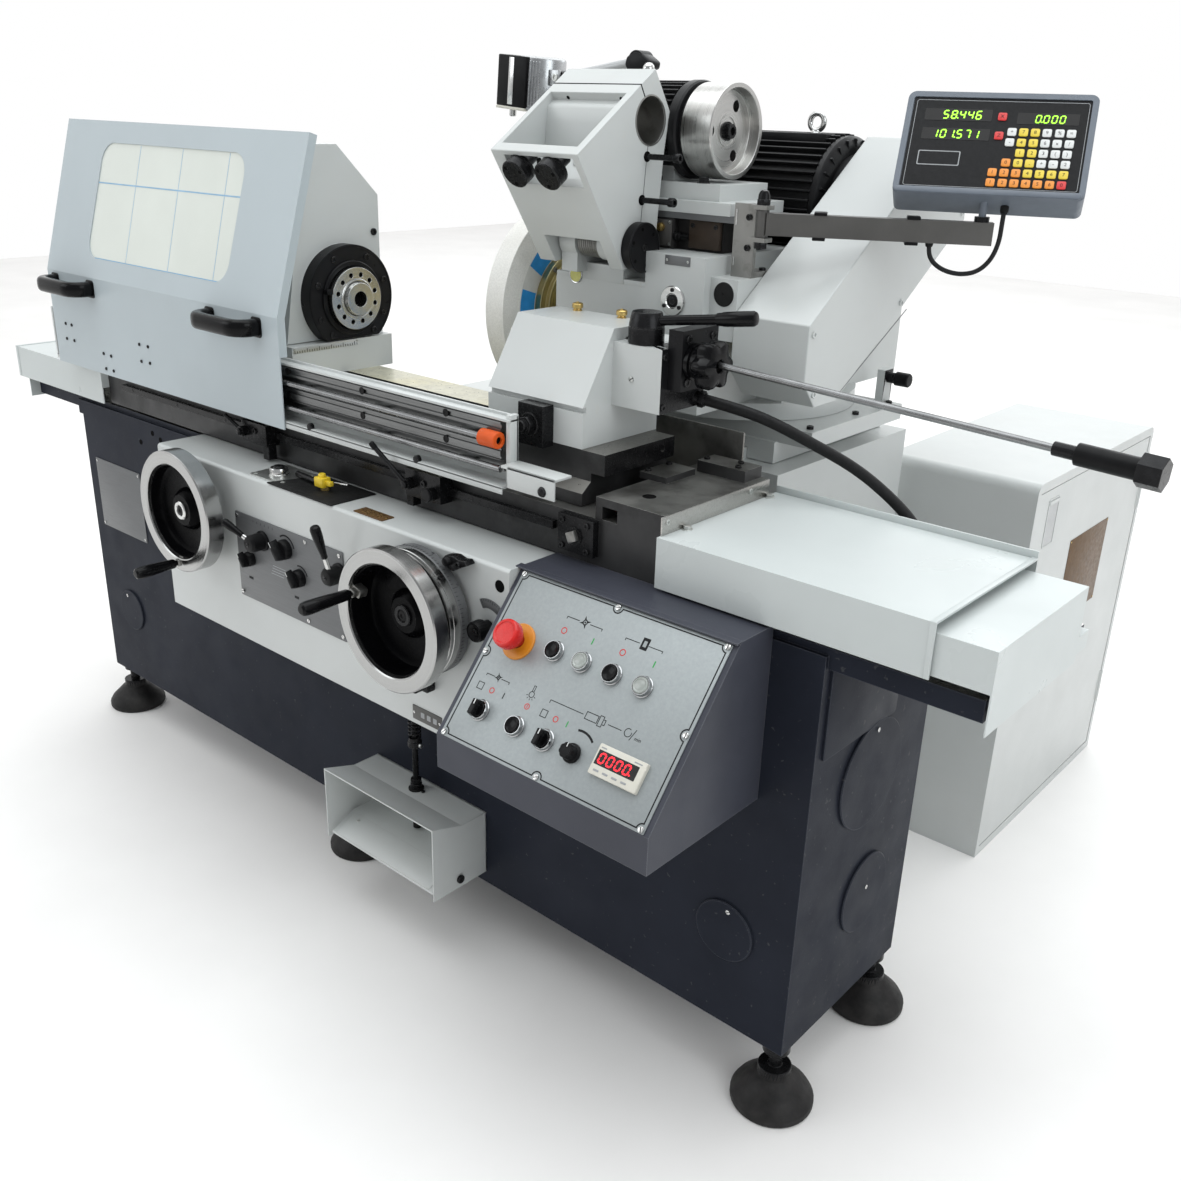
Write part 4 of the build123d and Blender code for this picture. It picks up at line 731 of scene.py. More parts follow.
# ------------------------------------------------------------------ the console
CON = frame_of((0, -232, 435), (1, 0, 0), (0, 0.6413, 0.7673))
PANEL_W = 1.6
panel = Piece("control_panel")
panel.prism(rrect(-256, 124, 345, 246, 2.0), 0.0, PANEL_W, PANEL, CON, bevel=0.35)
L_, R_, B_, T_ = -423.5, -88.5, 5.5, 242.5


def bend(cx, cy, a0, a1, r=7.5, n=10):
    return circle(cx, cy, r, n, a0, a1, False)


outline = (bend(L_, B_, 90, 0) + bend(-256, B_, 180, 0) + bend(R_, B_, 180, 90) + bend(R_, 126, 270, 90) + bend(R_, T_, 270, 180)
           + bend(-258, T_, 360, 180) + bend(L_, T_, 360, 270) + bend(L_, 126, 90, -90))
strip(panel, outline, 1.7, PANEL_W - 0.2, PANEL_W + 0.15, PRINT, CON, True)
for x, v in ((L_, B_), (-256, B_), (R_, B_), (L_, 126), (R_, 126), (L_, T_), (-258, T_), (R_, T_)):
    q = CON @ Vector((x, v, PANEL_W))
    panel.slot_screw(q, (0, -0.7673, 0.6413), 3.9, 1.9, BRIGHT, turn=random.uniform(0, 3))
z0, z1 = PANEL_W - 0.2, PANEL_W + 0.15


def ring_mark(x, v, mat, r=4.0, width=1.3):
    strip(panel, circle(x, v, r, 22), width, z0, z1, mat, CON, True)


def bar_mark(x, v, mat, h=8.5, w=1.8):
    panel.prism([(x - w / 2, v - h / 2), (x + w / 2, v - h / 2), (x + w / 2, v + h / 2), (x - w / 2, v + h / 2)], z0, z1, mat, CON)


def square_mark(x, v, s=9.5):
    strip(panel, [(x - s / 2, v - s / 2), (x + s / 2, v - s / 2), (x + s / 2, v + s / 2), (x - s / 2, v + s / 2)], 1.0, z0, z1, PRINT, CON, True)


def hooked_line(xa, xb, v, gap, hook=3.0):
    """A line broken in the middle, its ends turned down."""
    xm = (xa + xb) / 2
    strip(panel, [(xa, v - hook), (xa, v), (xm - gap, v)], 1.0, z0, z1, PRINT, CON)
    strip(panel, [(xm + gap, v), (xb, v), (xb, v - hook)], 1.0, z0, z1, PRINT, CON)


def rotor_mark(x, v, s):
    ring_mark(x, v, PRINT, s * 0.62, 1.5)
    panel.prism(circle(x, v, s * 0.25, 12), z0, z1, PRINT, CON)
    for k in range(4):
        a = math.radians(20 + 90 * k)
        c, d = math.cos(a), math.sin(a)
        tip = (x + c * s * 1.75, v + d * s * 1.75)
        panel.prism([(x + c * s * 0.62 - d * s * 0.30, v + d * s * 0.62 + c * s * 0.30), (x + c * s * 0.62 + d * s * 0.30, v + d * s * 0.62 - c * s * 0.30), tip], z0, z1, PRINT, CON)


hooked_line(-325, -266, 209, 9)
rotor_mark(-295.2, 209.5, 5.2)
ring_mark(-320, 189.8, RED_PRINT)
bar_mark(-271, 190, GREEN_PRINT)
hooked_line(-227, -169, 209.5, 7)
panel.prism(rrect(-197, 210.5, 11, 16, 0.6), z0, z1, PRINT, CON)
panel.prism(rrect(-197, 210.5, 5, 8, 0.4), z0, z1 + 0.1, PANEL, CON)
ring_mark(-222, 190.7, RED_PRINT)
bar_mark(-172, 191, GREEN_PRINT)
hooked_line(-403, -362, 99.3, 6)
rotor_mark(-382.4, 99.8, 3.8)
square_mark(-404, 81)
ring_mark(-382.6, 80.8, RED_PRINT, 3.6)
bar_mark(-361, 80.5, PRINT, 8, 1.5)
ring_mark(-320.5, 97.0, PRINT, 4.0, 1.0)
strip(panel, [(-322, 101), (-322, 109), (-319, 109), (-319, 101)], 0.9, z0, z1, PRINT, CON)
for a in (200, 235, 270, 305, 340):
    c, d = math.cos(math.radians(a)), math.sin(math.radians(a))
    strip(panel, [(-320.5 + 5.6 * c, 97 + 5.6 * d), (-320.5 + 8.2 * c, 97 + 8.2 * d)], 0.8, z0, z1, PRINT, CON)
ring_mark(-318.6, 80.6, RED_PRINT, 3.6, 1.1)
bar_mark(-318.6, 80.6, RED_PRINT, 4.2, 1.0)
square_mark(-289.3, 81.5)
ring_mark(-268.9, 80.8, RED_PRINT, 3.6)
bar_mark(-249.5, 81, GREEN_PRINT, 8, 1.6)
strip(panel, [(-289, 96.5), (-289, 100.8), (-234, 100.8)], 1.0, z0, z1, PRINT, CON)
strip(panel, [(-230, 96.5), (-230, 106), (-211, 106), (-211, 96.5)], 1.0, z0, z1, PRINT, CON, True)
strip(panel, [(-209, 94.5), (-209, 108), (-203, 108), (-203, 94.5)], 1.0, z0, z1, PRINT, CON, True)
strip(panel, [(-202, 98), (-199, 98), (-199, 104.5), (-202, 104.5)], 1.0, z0, z1, PRINT, CON)
strip(panel, [(-194, 101.2), (-173, 101.2)], 1.0, z0, z1, PRINT, CON)
strip(panel, circle(-163, 102, 5.2, 20, 60, 380, False), 1.0, z0, z1, PRINT, CON)
strip(panel, [(-157.5, 94), (-153, 109)], 1.0, z0, z1, PRINT, CON)
panel.text("min", 7.0, CON @ Matrix.Translation((-146, 98.5, z1 - 0.05)), PRINT, 0.2)
panel.prism(arc_strip(-223, 51, 28.5, 31.5, 48, 104), z0, z1, PRINT, CON)
panel.done("base", "alu")

# chrome collars of the buttons and selectors, the amber plate of the stop, the panel meter
BUTTONS = [(-318.0, 160.0), (-271.0, 160.0), (-221.0, 160.0), (-172.0, 160.0), (-321.0, 51.0)]
collars = Piece("control_collars")
for x, v in BUTTONS:
    collars.lathe([(14.2, PANEL_W - 0.3), (14.2, 3.0), (13.0, 4.0), (12.8, 8.6), (12.3, 9.4), (11.5, 9.4), (11.1, 8.8), (11.1, PANEL_W - 0.3)], CON @ Matrix.Translation((x, v, 0)), COLLAR, 48, True)
for x, v in ((-385.0, 51.0), (-270.0, 51.0)):
    collars.lathe([(15.0, PANEL_W - 0.3), (15.0, 3.2), (13.8, 4.2), (13.4, 7.6), (12.6, 8.6), (11.8, 8.6), (11.5, 8.0), (11.5, PANEL_W - 0.3)], CON @ Matrix.Translation((x, v, 0)), COLLAR, 48, True)
collars.lathe([(9.5, PANEL_W - 0.3), (9.5, 2.4), (7.0, 2.4), (7.0, PANEL_W - 0.3)], CON @ Matrix.Translation((-223, 51, 0)), ZINC, 6, True)
collars.lathe([(25.5, PANEL_W - 0.3), (25.5, 3.2), (24.0, 4.6), (18.5, 5.6), (16.6, 5.6), (10.5, 5.2), (10.5, PANEL_W - 0.3)], CON @ Matrix.Translation((-379, 154, 0)), AMBER, 48, True)
collars.done("base", "bright_steel")

meter = Piece("panel_meter")
meter.prism(rrect(-150.5, 58, 73, 39, 1.6), PANEL_W - 0.3, 8.6, CREAM, CON, bevel=1.0)
meter.prism(rrect(-153.2, 60.6, 62, 18.5, 0.8), 8.3, 8.8, SCREEN, CON)
digits(meter, "0000.", -180.0, 54.6, 12.0, 7.4, 5.4, 2.0, 8.7, 8.95, RED_LED, CON)
for k in range(4):
    meter.prism(rrect(-176.5 + 14.2 * k, 44.6, 8.4, 2.6, 0.8), 8.4, 9.0, KEY_GREY, CON, bevel=0.2)
meter.prism(rrect(-179, 73.0, 8, 1.6, 0.2), 8.5, 8.75, KEY_GREY, CON)
meter.prism(rrect(-126, 73.0, 12, 1.6, 0.2), 8.5, 8.75, KEY_GREY, CON)
meter.prism(rrect(-114.5, 70, 3, 3, 0.4), 8.5, 8.75, CREAM, CON)
meter.done("base", "clear_plastic")

for k, (x, v) in enumerate(BUTTONS):
    cap = Piece(f"button_cap_{k + 1}")
    M = CON @ Matrix.Translation((x, v, 0))
    if k in (1, 3):
        cap.lathe([(9.0, -18), (9.0, 6.0), (10.6, 6.4), (10.6, 9.6), (9.7, 10.9), (8.5, 11.1), (7.5, 10.3), (6.5, 10.3), (5.2, 10.8), (0, 11.1)], M, CLEAR, 48)
        cap.lathe([(10.66, 6.8), (10.66, 8.0), (9.6, 8.0), (9.6, 6.8)], M, BRIGHT, 48, True)
    else:
        cap.lathe([(9.0, -18), (9.0, 6.0), (10.6, 6.4), (10.6, 9.2), (9.9, 10.4), (8.8, 10.7), (7.9, 10.2), (0, 9.8)], M, BAKELITE, 48)
    cap.done(f"button_{k + 1}", "clear_plastic" if k in (1, 3) else "gloss_black", f"push_button_{k + 1}")

for side, x in (("left", -385.0), ("right", -270.0)):
    sel = Piece(f"selector_knob_{side}")
    M = CON @ Matrix.Translation((x, 51, 0))
    sel.lathe([(6.0, -18), (6.0, 3), (11.0, 3), (11.0, 9.4), (10.2, 10.2), (0, 10.2)], M, BAKELITE, 40)
    sel.prism([(-5.6, -12.2), (5.6, -12.2), (5.6, 12.2), (-5.6, 12.2)], 9.8, 20.0, BAKELITE, M, bevel=1.1, top=0.84)
    sel.prism(rrect(0, 7.0, 1.5, 7.0, 0.3), 19.6, 20.2, KEY_WHITE, M)
    for s in (-1, 1):
        for j in range(4):
            sel.prism(rrect(s * 5.2, -8 + 5.2 * j, 0.9, 2.4, 0.3), 11, 17.5, BAKELITE, M)
    sel.done(f"select_{side}", "gloss_black", f"selector_{side}")

pot = Piece("speed_pot_knob")
M = CON @ Matrix.Translation((-223, 51, 0))
pot.lathe([(6.0, -18), (6.0, 2.4), (12.6, 2.4), (13.0, 3.2), (12.6, 5.2), (10.2, 6.4), (10.2, 17.4), (9.4, 18.6), (7.2, 18.8), (6.8, 18.4), (0, 18.4)], M, BLACK, 64,
          shape=lambda a, k: 1.0 - (0.10 * (0.5 + 0.5 * math.cos(8 * a)) ** 2 if k in (6, 7) else 0.0))
pot.prism(rrect(0, 7.0, 1.1, 5.5, 0.2), 18.3, 18.95, KEY_WHITE, M)
pot.done("pot", "gloss_black", "speed_potentiometer")

stop = Piece("stop_mushroom")
M = CON @ Matrix.Translation((-379, 154, 0))
stop.lathe([(9.6, -20), (9.6, 10.9), (15.2, 14.6), (15.6, 15.4), (15.6, 21.0)], M, RED_DEEP, 48)
stop.lathe([(15.0, 20.6), (19.0, 21.4), (20.0, 23.4), (20.0, 33.4), (19.2, 36.0), (17.2, 37.8), (15.0, 38.0), (14.2, 37.2), (13.6, 36.6), (0, 36.9)], M, RED, 56,
           shape=lambda a, k: 1.0 - (0.012 * (0.5 + 0.5 * math.cos(36 * a)) if k in (2, 3) else 0.0))
stop.done("stop", "red_plastic", "emergency_stop")

# folded lip over the panel and screws of the console's side
lip = Piece("console_lip")
lip.prism([(-77.5, 627.2), (-77.5, 629.6), (-66, 630.6), (-66, 627.2)], -442, -76.5, CONSOLE, frame_of((0, 0, 0), (0, 1, 0), (0, 0, 1)), bevel=0.4)
lip.hex_bolt((-92, -150, 384.5), (0, 0, -1), 5.5, 5, ZINC)
lip.hex_bolt((-92, -40, 384.5), (0, 0, -1), 5.5, 5, ZINC)
lip.done("base", "grey_console")


# ------------------------------------------------------------------ handwheels
def handwheel(name, node, body, x, z, rim, back, front, web, hub_h, turned, grip, grip_end, deep=False):
    w = Piece(name)
    M = FRONT(x, 0, z)
    w.lathe([(rim, back + 2), (rim, front - 2.0), (rim - 2.0, front), (rim - 21, front), (rim - 23, front - 1.6), (rim - 23.6, front - 6), (rim - 23.6, back + 5), (rim - 17, back), (rim - 2, back)], M, turned, 112, True)
    # dished inside, enamelled black
    wall = rim - 23.8
    w.lathe([(wall, front - 6.4), (wall, web - 8), (36, web - 9), (36, web - 2), (44, web), (wall - 12, web + 1.5), (wall - 5, web + 5), (wall - 2.6, web + 10), (wall - 2.2, front - 6.4)], M, WELL, 96, True)
    w.lathe([(14, 70), (14, web - 12), (34, web - 11), (37, web - 4), (37, web + 1), (31, hub_h - 5), (27, hub_h - 2), (0, hub_h - 2)], M, WELL, 64)
    w.lathe([(16.5, hub_h - 4), (16.5, hub_h + 0.5), (15.0, hub_h + 2), (10.5, hub_h + 2), (9.4, hub_h + 0.8), (9.4, hub_h - 4)], M, BRIGHT if not deep else BLACK_OXIDE, 48, True)
    w.lathe([(9.2, hub_h - 4), (9.2, hub_h - 0.2), (7.4, hub_h + 0.8), (4.0, hub_h + 0.8), (3.4, hub_h - 0.4), (0, hub_h - 0.4)], M, BLACK, 40)
    # hinged grip with its lug on the rim
    gx, gz = grip
    r = math.hypot(gx - x, gz - z)
    u = Vector(((gx - x) / r, 0, (gz - z) / r))
    lug = frame_of((x, 0, z), tuple(u), tuple(Vector((0, -1, 0)).cross(u)))
    w.prism(rrect(r + 2, 0, 24, 15, 4), front - 20, front - 5, DARK_STEEL, lug, bevel=1.2)
    w.prism(rrect(r, 0, 13, 11, 3), front - 6, front + 4, DARK_STEEL, lug, bevel=1.5)
    G = FRONT(gx, 0, gz)
    length = grip_end - front
    w.lathe([(4.4, front - 6), (4.4, front + 7), (7.2, front + 8), (8.4, front + 11), (8.8, front + length * 0.3), (10.4, front + length * 0.66), (10.6, grip_end - 10), (9.2, grip_end - 3), (6.0, grip_end - 0.4), (0, grip_end)], G, BAKELITE, 36)
    return w


trav = handwheel("traverse_wheel_rim", "traverse_handwheel", "traverse_wheel", -1189, 545, 107, 125, 157, 128, 143, TURNED_T, (-1189, 453), 239.5)
trav.done("traverse_wheel", "bright_steel", "traverse_handwheel")

inf = handwheel("infeed_wheel_rim", "infeed_handwheel", "infeed_wheel", -605, 525, 108, 150, 176, 131, 143, TURNED_I, (-675, 550), 267.5, True)
M = FRONT(-605, 0, 525)
inf.lathe([(90, 143.5), (90, 150.5), (84, 150.5), (84, 143.5)], M, DARK_HOLE, 96, True)
inf.lathe([(88, 138.5), (95, 138.5), (95, 150.4), (88, 150.4)], M, DARK_HOLE, 96, True)
inf.lathe([(97.0, 119), (97.6, 120.5), (97.6, 131), (96.6, 131.8), (96.6, 132.6), (97.6, 133.4), (97.6, 138), (96.2, 139.2), (84.5, 139.2), (84.5, 119)], M, TURNED_I, 112, True)
inf.lathe([(98, 103.8), (98, 117.6), (97, 118.8), (80, 118.8), (80, 103.8)], M, GREY_PLATE, 112, True)
for k in range(100):
    a = 2 * math.pi * k / 100
    long = 9.0 if k % 10 == 0 else (6.5 if k % 5 == 0 else 4.5)
    t = M @ Matrix.Rotation(a, 4, "Z")
    inf.box(97.8, 98.25, -0.25, 0.25, 117.4 - long, 117.4, PRINT, 0, t)
for k in range(10):
    a = 2 * math.pi * k / 10
    t = M @ Matrix.Rotation(a, 4, "Z") @ Matrix.Translation((97.9, 2.6, 106.6)) @ Matrix((Vector((0, -1, 0)), Vector((0, 0, 1)), Vector((-1, 0, 0)))).transposed().to_4x4() @ Matrix.Rotation(math.pi, 4, "Y")
    inf.text(str(k * 10), 4.4, t, PRINT, 0.5)
inf.cap_screw((-605 + 97 * math.cos(math.radians(48)), -127, 525 + 97 * math.sin(math.radians(48))), (math.cos(math.radians(48)), 0, math.sin(math.radians(48))), 5, 4)
inf.done("infeed_wheel", "bright_steel", "infeed_handwheel")

# positive stop above the drum and its counterpart below, fixed to the apron
pawl = Piece("infeed_stop_pawl")
pawl.prism([(-550, 610), (-532, 605), (-518, 613), (-502, 621), (-507, 627), (-518, 625), (-530, 628), (-546, 626), (-553, 619)], 95.2, 112, BLACK_OXIDE, FRONT(0, 0, 0), bevel=1.5)
pawl.lathe([(7.0, 94.5), (7.0, 116), (5.8, 118), (4, 118.6), (0, 118.6)], FRONT(-541, 0, 618), BLACK, 36, shape=lambda a, k: 1 - 0.05 * (0.5 + 0.5 * math.cos(14 * a)))
pawl.cap_screw((-519, -112, 619), (0, -1, 0), 4.0, 3.4)
pawl.box(-622, -592, -112, -95, 392, 408, BLACK_OXIDE, 2)
pawl.lathe([(8, 112), (8, 124), (6.5, 126), (0, 126)], FRONT(-607, 0, 400), BLACK, 28)
pawl.done("base", "black_iron")


# ------------------------------------------------------- levers and small knobs
def lever(name, node, body, x, z, hub_r, front, root, knee, tip, r_grip):
    w = Piece(name)
    w.lathe([(6, 75), (6, 97.4), (hub_r + 2.5, 97.4), (hub_r + 2.5, 100.5), (hub_r, 102), (hub_r, front - 5), (hub_r - 3, front - 1), (hub_r - 7, front), (0, front)], FRONT(x, 0, z), BLACK, 48)
    w.slot_screw((x, -front + 0.2, z), (0, -1, 0), 4.0, 1.2, BLACK_OXIDE)
    w.tube([root, knee], [4.6, 3.8], BRIGHT, 20)
    a, b = Vector(knee), Vector(tip)
    d = (b - a).normalized()
    n = (b - a).length
    G = axis_frame(a - d * 8, d)
    w.lathe([(4.4, 0), (5.2, 1.5), (5.0, 6), (r_grip - 1.4, n * 0.45), (r_grip, n * 0.8), (r_grip, n + 3), (r_grip - 1.6, n + 6.6), (r_grip - 4, n + 8), (0, n + 8)], G, BAKELITE, 36)
    w.done(body, "black_plastic", node)


lever("start_lever_arm", "start_lever", "start", -1014, 523, 15, 128, (-1014, -116, 523), (-1038, -127, 538), (-1066, -138, 556), 7.0)
lever("feed_lever_arm", "feed_lever", "feed", -809, 521, 15, 126, (-809, -114, 521), (-807.6, -127, 562), (-806, -142, 611), 8.4)


def pointer_knob(name, node, body, x, z, r, front):
    w = Piece(name)
    w.lathe([(5, 75), (5, 97.4), (r, 97.4), (r, 104), (r - 0.8, 107), (r - 2.2, 109), (0, 109.6)], FRONT(x, 0, z), BLACK, 48)
    blade = [(-r * 0.30, -r * 0.98), (r * 0.30, -r * 0.98), (r * 0.36, 0), (r * 0.16, r * 1.22), (-r * 0.16, r * 1.22), (-r * 0.36, 0)]
    w.prism(blade, 108, front, BLACK, FRONT(x, 0, z) @ Matrix.Rotation(math.radians(35), 4, "Z"), bevel=1.6, top=0.86)
    w.prism(rrect(0, r * 0.8, 1.3, r * 0.55, 0.2), front - 0.3, front + 0.25, KEY_WHITE, FRONT(x, 0, z) @ Matrix.Rotation(math.radians(35), 4, "Z"))
    w.done(body, "black_plastic", node)


pointer_knob("speed_knob_cap", "speed_knob", "speed", -950, 525, 17, 123)
pointer_knob("dwell_knob_left_cap", "dwell_knob_left", "dwell_left", -1054, 481, 13, 120)
pointer_knob("dwell_knob_right_cap", "dwell_knob_right", "dwell_right", -915, 484, 15, 120)
k = Piece("feed_knob_cap")
k.lathe([(5, 75), (5, 97.4), (10.5, 97.4), (10.5, 107), (14.6, 109), (15.4, 111), (15.4, 123.5), (14.0, 126), (11.5, 126), (7.0, 122.5), (0, 122.3)], FRONT(-475, 0, 534), BLACK, 96,
        shape=lambda a, j: 1 - (0.045 * (0.5 + 0.5 * math.cos(24 * a)) if j in (5, 6) else 0))
k.cap_screw((-475, -122.2, 534), (0, -1, 0), 4.2, 2.6)
k.done("feed_adjust", "black_plastic", "feed_knob")

# ------------------------------------------------------------ the apron's fittings
front = Piece("apron_control_plate")
front.prism(rrect(-946.5, 481, 293, 154, 3), 95.0, 97.2, GREY_PLATE, FRONT(0, 0, 0), bevel=0.4)
for x, z in ((-1087, 551), (-896, 551), (-808, 551), (-1087, 412), (-899, 412), (-808, 412)):
    front.slot_screw((x, -97.2, z), (0, -1, 0), 3.6, 1.7, BRIGHT, turn=random.uniform(0, 3))
F0 = FRONT(0, 0, 0)
front.prism(arc_strip(-950, 525, 21.5, 24.5, 15, 130), 97.0, 97.4, PRINT, F0)
front.prism(arc_strip(-915, 484, 19.0, 21.5, 20, 110), 97.0, 97.4, PRINT, F0)
front.prism(rrect(-1059, 444, 12, 4.5, 0.6), 97.0, 97.4, PRINT, F0)
front.prism(rrect(-929, 445, 12, 4.5, 0.6), 97.0, 97.4, PRINT, F0)
for i in range(4):
    strip(front, [(-997 + 2 * i, 470 + 5 * i), (-962 + 2 * i, 470 + 5 * i)], 1.0, 97.0, 97.35, KEY_GREY, F0)
for j in range(6):
    strip(front, [(-1040 + 11 * j, 549), (-1040 + 11 * j, 553)], 0.8, 97.0, 97.35, PRINT, F0)
front.done("base", "alu")

fit = Piece("apron_fittings")
fit.prism(rrect(-1009, -50, 92, 74, 4), 628, 630.2, ZINC, bevel=0.4)
for x, y in ((-1047, -79), (-972, -79), (-1047, -21), (-972, -21)):
    fit.cap_screw((x, y, 630.2), (0, 0, 1), 4.0, 0.7, ZINC)
fit.lathe([(17, 630), (17, 633), (15.5, 634), (15.5, 641), (14, 643.5), (11, 644), (0, 644)], TOP(-1011, -58, 0), BRIGHT, 48, shape=lambda a, k: 1 - (0.03 * (0.5 + 0.5 * math.cos(28 * a)) if k in (2, 3) else 0))
fit.lathe([(9.5, 644), (9.5, 645.5), (8, 646.5), (0, 646.5)], TOP(-1011, -58, 0), BLACK_OXIDE, 32)
fit.prism([(-992, -96), (-824, -96), (-822, -8), (-958, -8)], 628.0, 630.4, RUBBER, bevel=0.4)
fit.tube([(-985, -40, 634), (-955, -44, 635), (-925, -48, 636), (-905, -51, 637)], [5, 5.5, 5.0, 4.5], BLACK_OXIDE, 16)
fit.lathe([(8, 630.3), (8, 636), (6.5, 638), (6.5, 641), (0, 641)], TOP(-893, -53, 0), BRASS, 6)
fit.box(-906, -884, -66, -48, 636, 652, YELLOW, 2.0)
fit.box(-888, -872, -60, -52, 640, 648, YELLOW, 1.5)
fit.lathe([(6.0, 650), (6.0, 656), (5.0, 657.5), (0, 657.5)], TOP(-895, -57, 0), YELLOW, 24)
fit.tube([(-878, -46, 643), (-852, -40, 644)], 1.8, BRIGHT, 10)
fit.prism(rrect(-747.5, -74, 68, 25, 1.5), 628.0, 629.4, BROWN, bevel=0.3)
for x in (-777, -718):
    fit.slot_screw((x, -74, 629.4), (0, 0, 1), 2.2, 0.7, BRASS)
for i in range(3):
    fit.prism(rrect(-747.5, -80 + 6 * i, 44, 2.0, 0.3), 629.3, 629.6, BRASS)
# plugged hole, arc scale and a bare plate on the front
fit.lathe([(9.0, 93.6), (9.0, 95.2), (8.4, 95.5), (0, 95.5)], FRONT(-455, 0, 600), DARK_HOLE, 32)
fit.prism(arc_strip(-475, 534, 27, 41, 38, 118, 20), 95.0, 96.2, GREY_PLATE, F0, bevel=0.2)
for i in range(11):
    a = math.radians(46 + 6.6 * i)
    r0 = 35 if i % 5 == 0 else 37
    strip(fit, [(-475 + r0 * math.cos(a), 534 + r0 * math.sin(a)), (-475 + 40 * math.cos(a), 534 + 40 * math.sin(a))], 0.7, 96.0, 96.4, PRINT, F0)
fit.prism(rrect(-612, 338, 66, 24, 1), 95.0, 96.2, ARM_GREY, F0, bevel=0.2)
for x in (-641, -583):
    fit.slot_screw((x, -96.2, 338), (0, -1, 0), 2.2, 0.8, BRIGHT)
for i in range(3):
    fit.prism(rrect(-622 + 14 * i, 338, 8, 9, 0.8), 96.0, 96.4, KEY_GREY, F0)
fit.lathe([(19, 94.6), (19, 97.5), (17, 99), (0, 99)], FRONT(-1189, 0, 545) @ Matrix.Translation((0, 0, 9)), BLACK, 32)
fit.done("base", "bright_steel")

# bosses behind the wheels: bolted bearing flanges
flange = Piece("wheel_bearing_flanges")
for x, z, r, h in ((-1189, 545, 52, 100), (-605, 525, 56, 99)):
    flange.lathe([(r, 94.8), (r, h - 1.5), (r - 1.5, h), (41, h), (41, 94.8)], FRONT(x, 0, z), WHITE if x < -1000 else BLACK_PAINT, 64, True)
    for q in range(4):
        a = math.radians(45 + 90 * q)
        flange.cap_screw((x + (r - 6) * math.cos(a), -h, z + (r - 6) * math.sin(a)), (0, -1, 0), 3.6, 2.6)
flange.done("base", "white_paint")

# ------------------------------------------------------------------ foot pedal
spring = Piece("pedal_spring")
coil = [(-721 + 9.4 * math.cos(2 * math.pi * i / 20), -30 + 9.4 * math.sin(2 * math.pi * i / 20), 238.0 + 78.0 * i / 220) for i in range(221)]
spring.tube(coil, 1.6, BLACK_OXIDE, 8)
spring = spring.done("base", "black_iron")
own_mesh(spring)

# folded sheet hood: the front of its top is bent upwards
pedal = Piece("pedal_hood")
for x0 in (-858, -585.5):
    pedal.prism([(0, 22), (0, 137), (-54, 137), (-117, 157), (-117, 22)], x0, x0 + 2.5, WHITE, RIGHT(0, 0, 0), bevel=0.5)
pedal.prism([(0, 134.5), (0, 137), (-54, 137), (-54.4, 134.5)], -855.6, -585.4, WHITE, RIGHT(0, 0, 0))
pedal.prism([(-54, 136.9), (-117, 156.9), (-117, 154.3), (-54.4, 134.4)], -855.6, -585.4, WHITE, RIGHT(0, 0, 0))
pedal.box(-858, -583, -2.5, -0.1, 22, 137, WHITE, 0.4)
PIVOT = axis_frame((-863, -61, 39), (1, 0, 0))
pedal.lathe([(4.5, 4), (4.5, 281), (0, 281)], PIVOT, STEEL, 24)
for q in (0, 280.2):
    pedal.lathe([(6.4, q), (7.2, q + 0.8), (7.2, q + 4.0), (6.4, q + 4.8), (3.4, q + 4.8), (3.0, q + 3.6), (0, q + 3.6)], PIVOT, BLACK_OXIDE, 28)
pedal.hex_bolt((-858, -100, 118), (-1, 0, 0), 6, 4, BLACK_OXIDE)
pedal.lathe([(13.4, 136), (13.4, 139.5), (11.5, 140.6), (8.2, 140.6), (8.2, 136)], TOP(-721, -30, 0), RUBBER, 36, True)
pedal.cap_screw((-704, -30, 137), (0, 0, 1), 3.4, 2.4)
pedal.done("base", "white_paint", "pedal_box")
tread = Piece("pedal_tread")
slope = frame_of((0, -113, 34), (1, 0, 0), (0, 47, 22))
tread.prism(rrect(-720.5, 25, 238, 47, 4.0), 0.0, 1.4, WHITE, slope, bevel=0.5)
for x in (-820, -621):
    tread.slot_screw(slope @ Vector((x, 38, 1.4)), slope.to_3x3() @ Vector((0, 0, 1)), 3.4, 1.2, ZINC)
tread.done("pedal", "white_paint")
nuts = Piece("pedal_rod_nuts")
nuts.lathe([(4.2, 60.2), (5, 61), (5, 371), (4.2, 372), (0, 372)], TOP(-721, -30, 0), BLACK_OXIDE, 28)
nuts.lathe([(5, 141), (9.4, 141), (10, 141.8), (10, 148.2), (9.4, 149), (5, 149)], TOP(-721, -30, 0), BLACK_OXIDE, 36, True)
nuts.prism(circle(-721, -30, 9.6, 6), 150, 158, BLACK_OXIDE, bevel=0.8)
nuts.lathe([(5, 219), (11, 219), (12, 220), (12, 229), (10.4, 230.6), (10.4, 236), (5, 236)], TOP(-721, -30, 0), BLACK_OXIDE, 40, True)
nuts.hex_bolt((-709.4, -30, 224.5), (1, 0, 0), 4.0, 5.0, ZINC)
nuts.prism(circle(-721, -30, 8.4, 6), 112, 119, BLACK_OXIDE, bevel=0.8)
nuts.lathe([(5.6, 61), (7.5, 62), (7.5, 74), (5.6, 75), (5.2, 75), (5.2, 61)], TOP(-721, -30, 0), RUBBER, 24, True)
nuts.done("pedal_link", "black_iron", "pedal_rod")

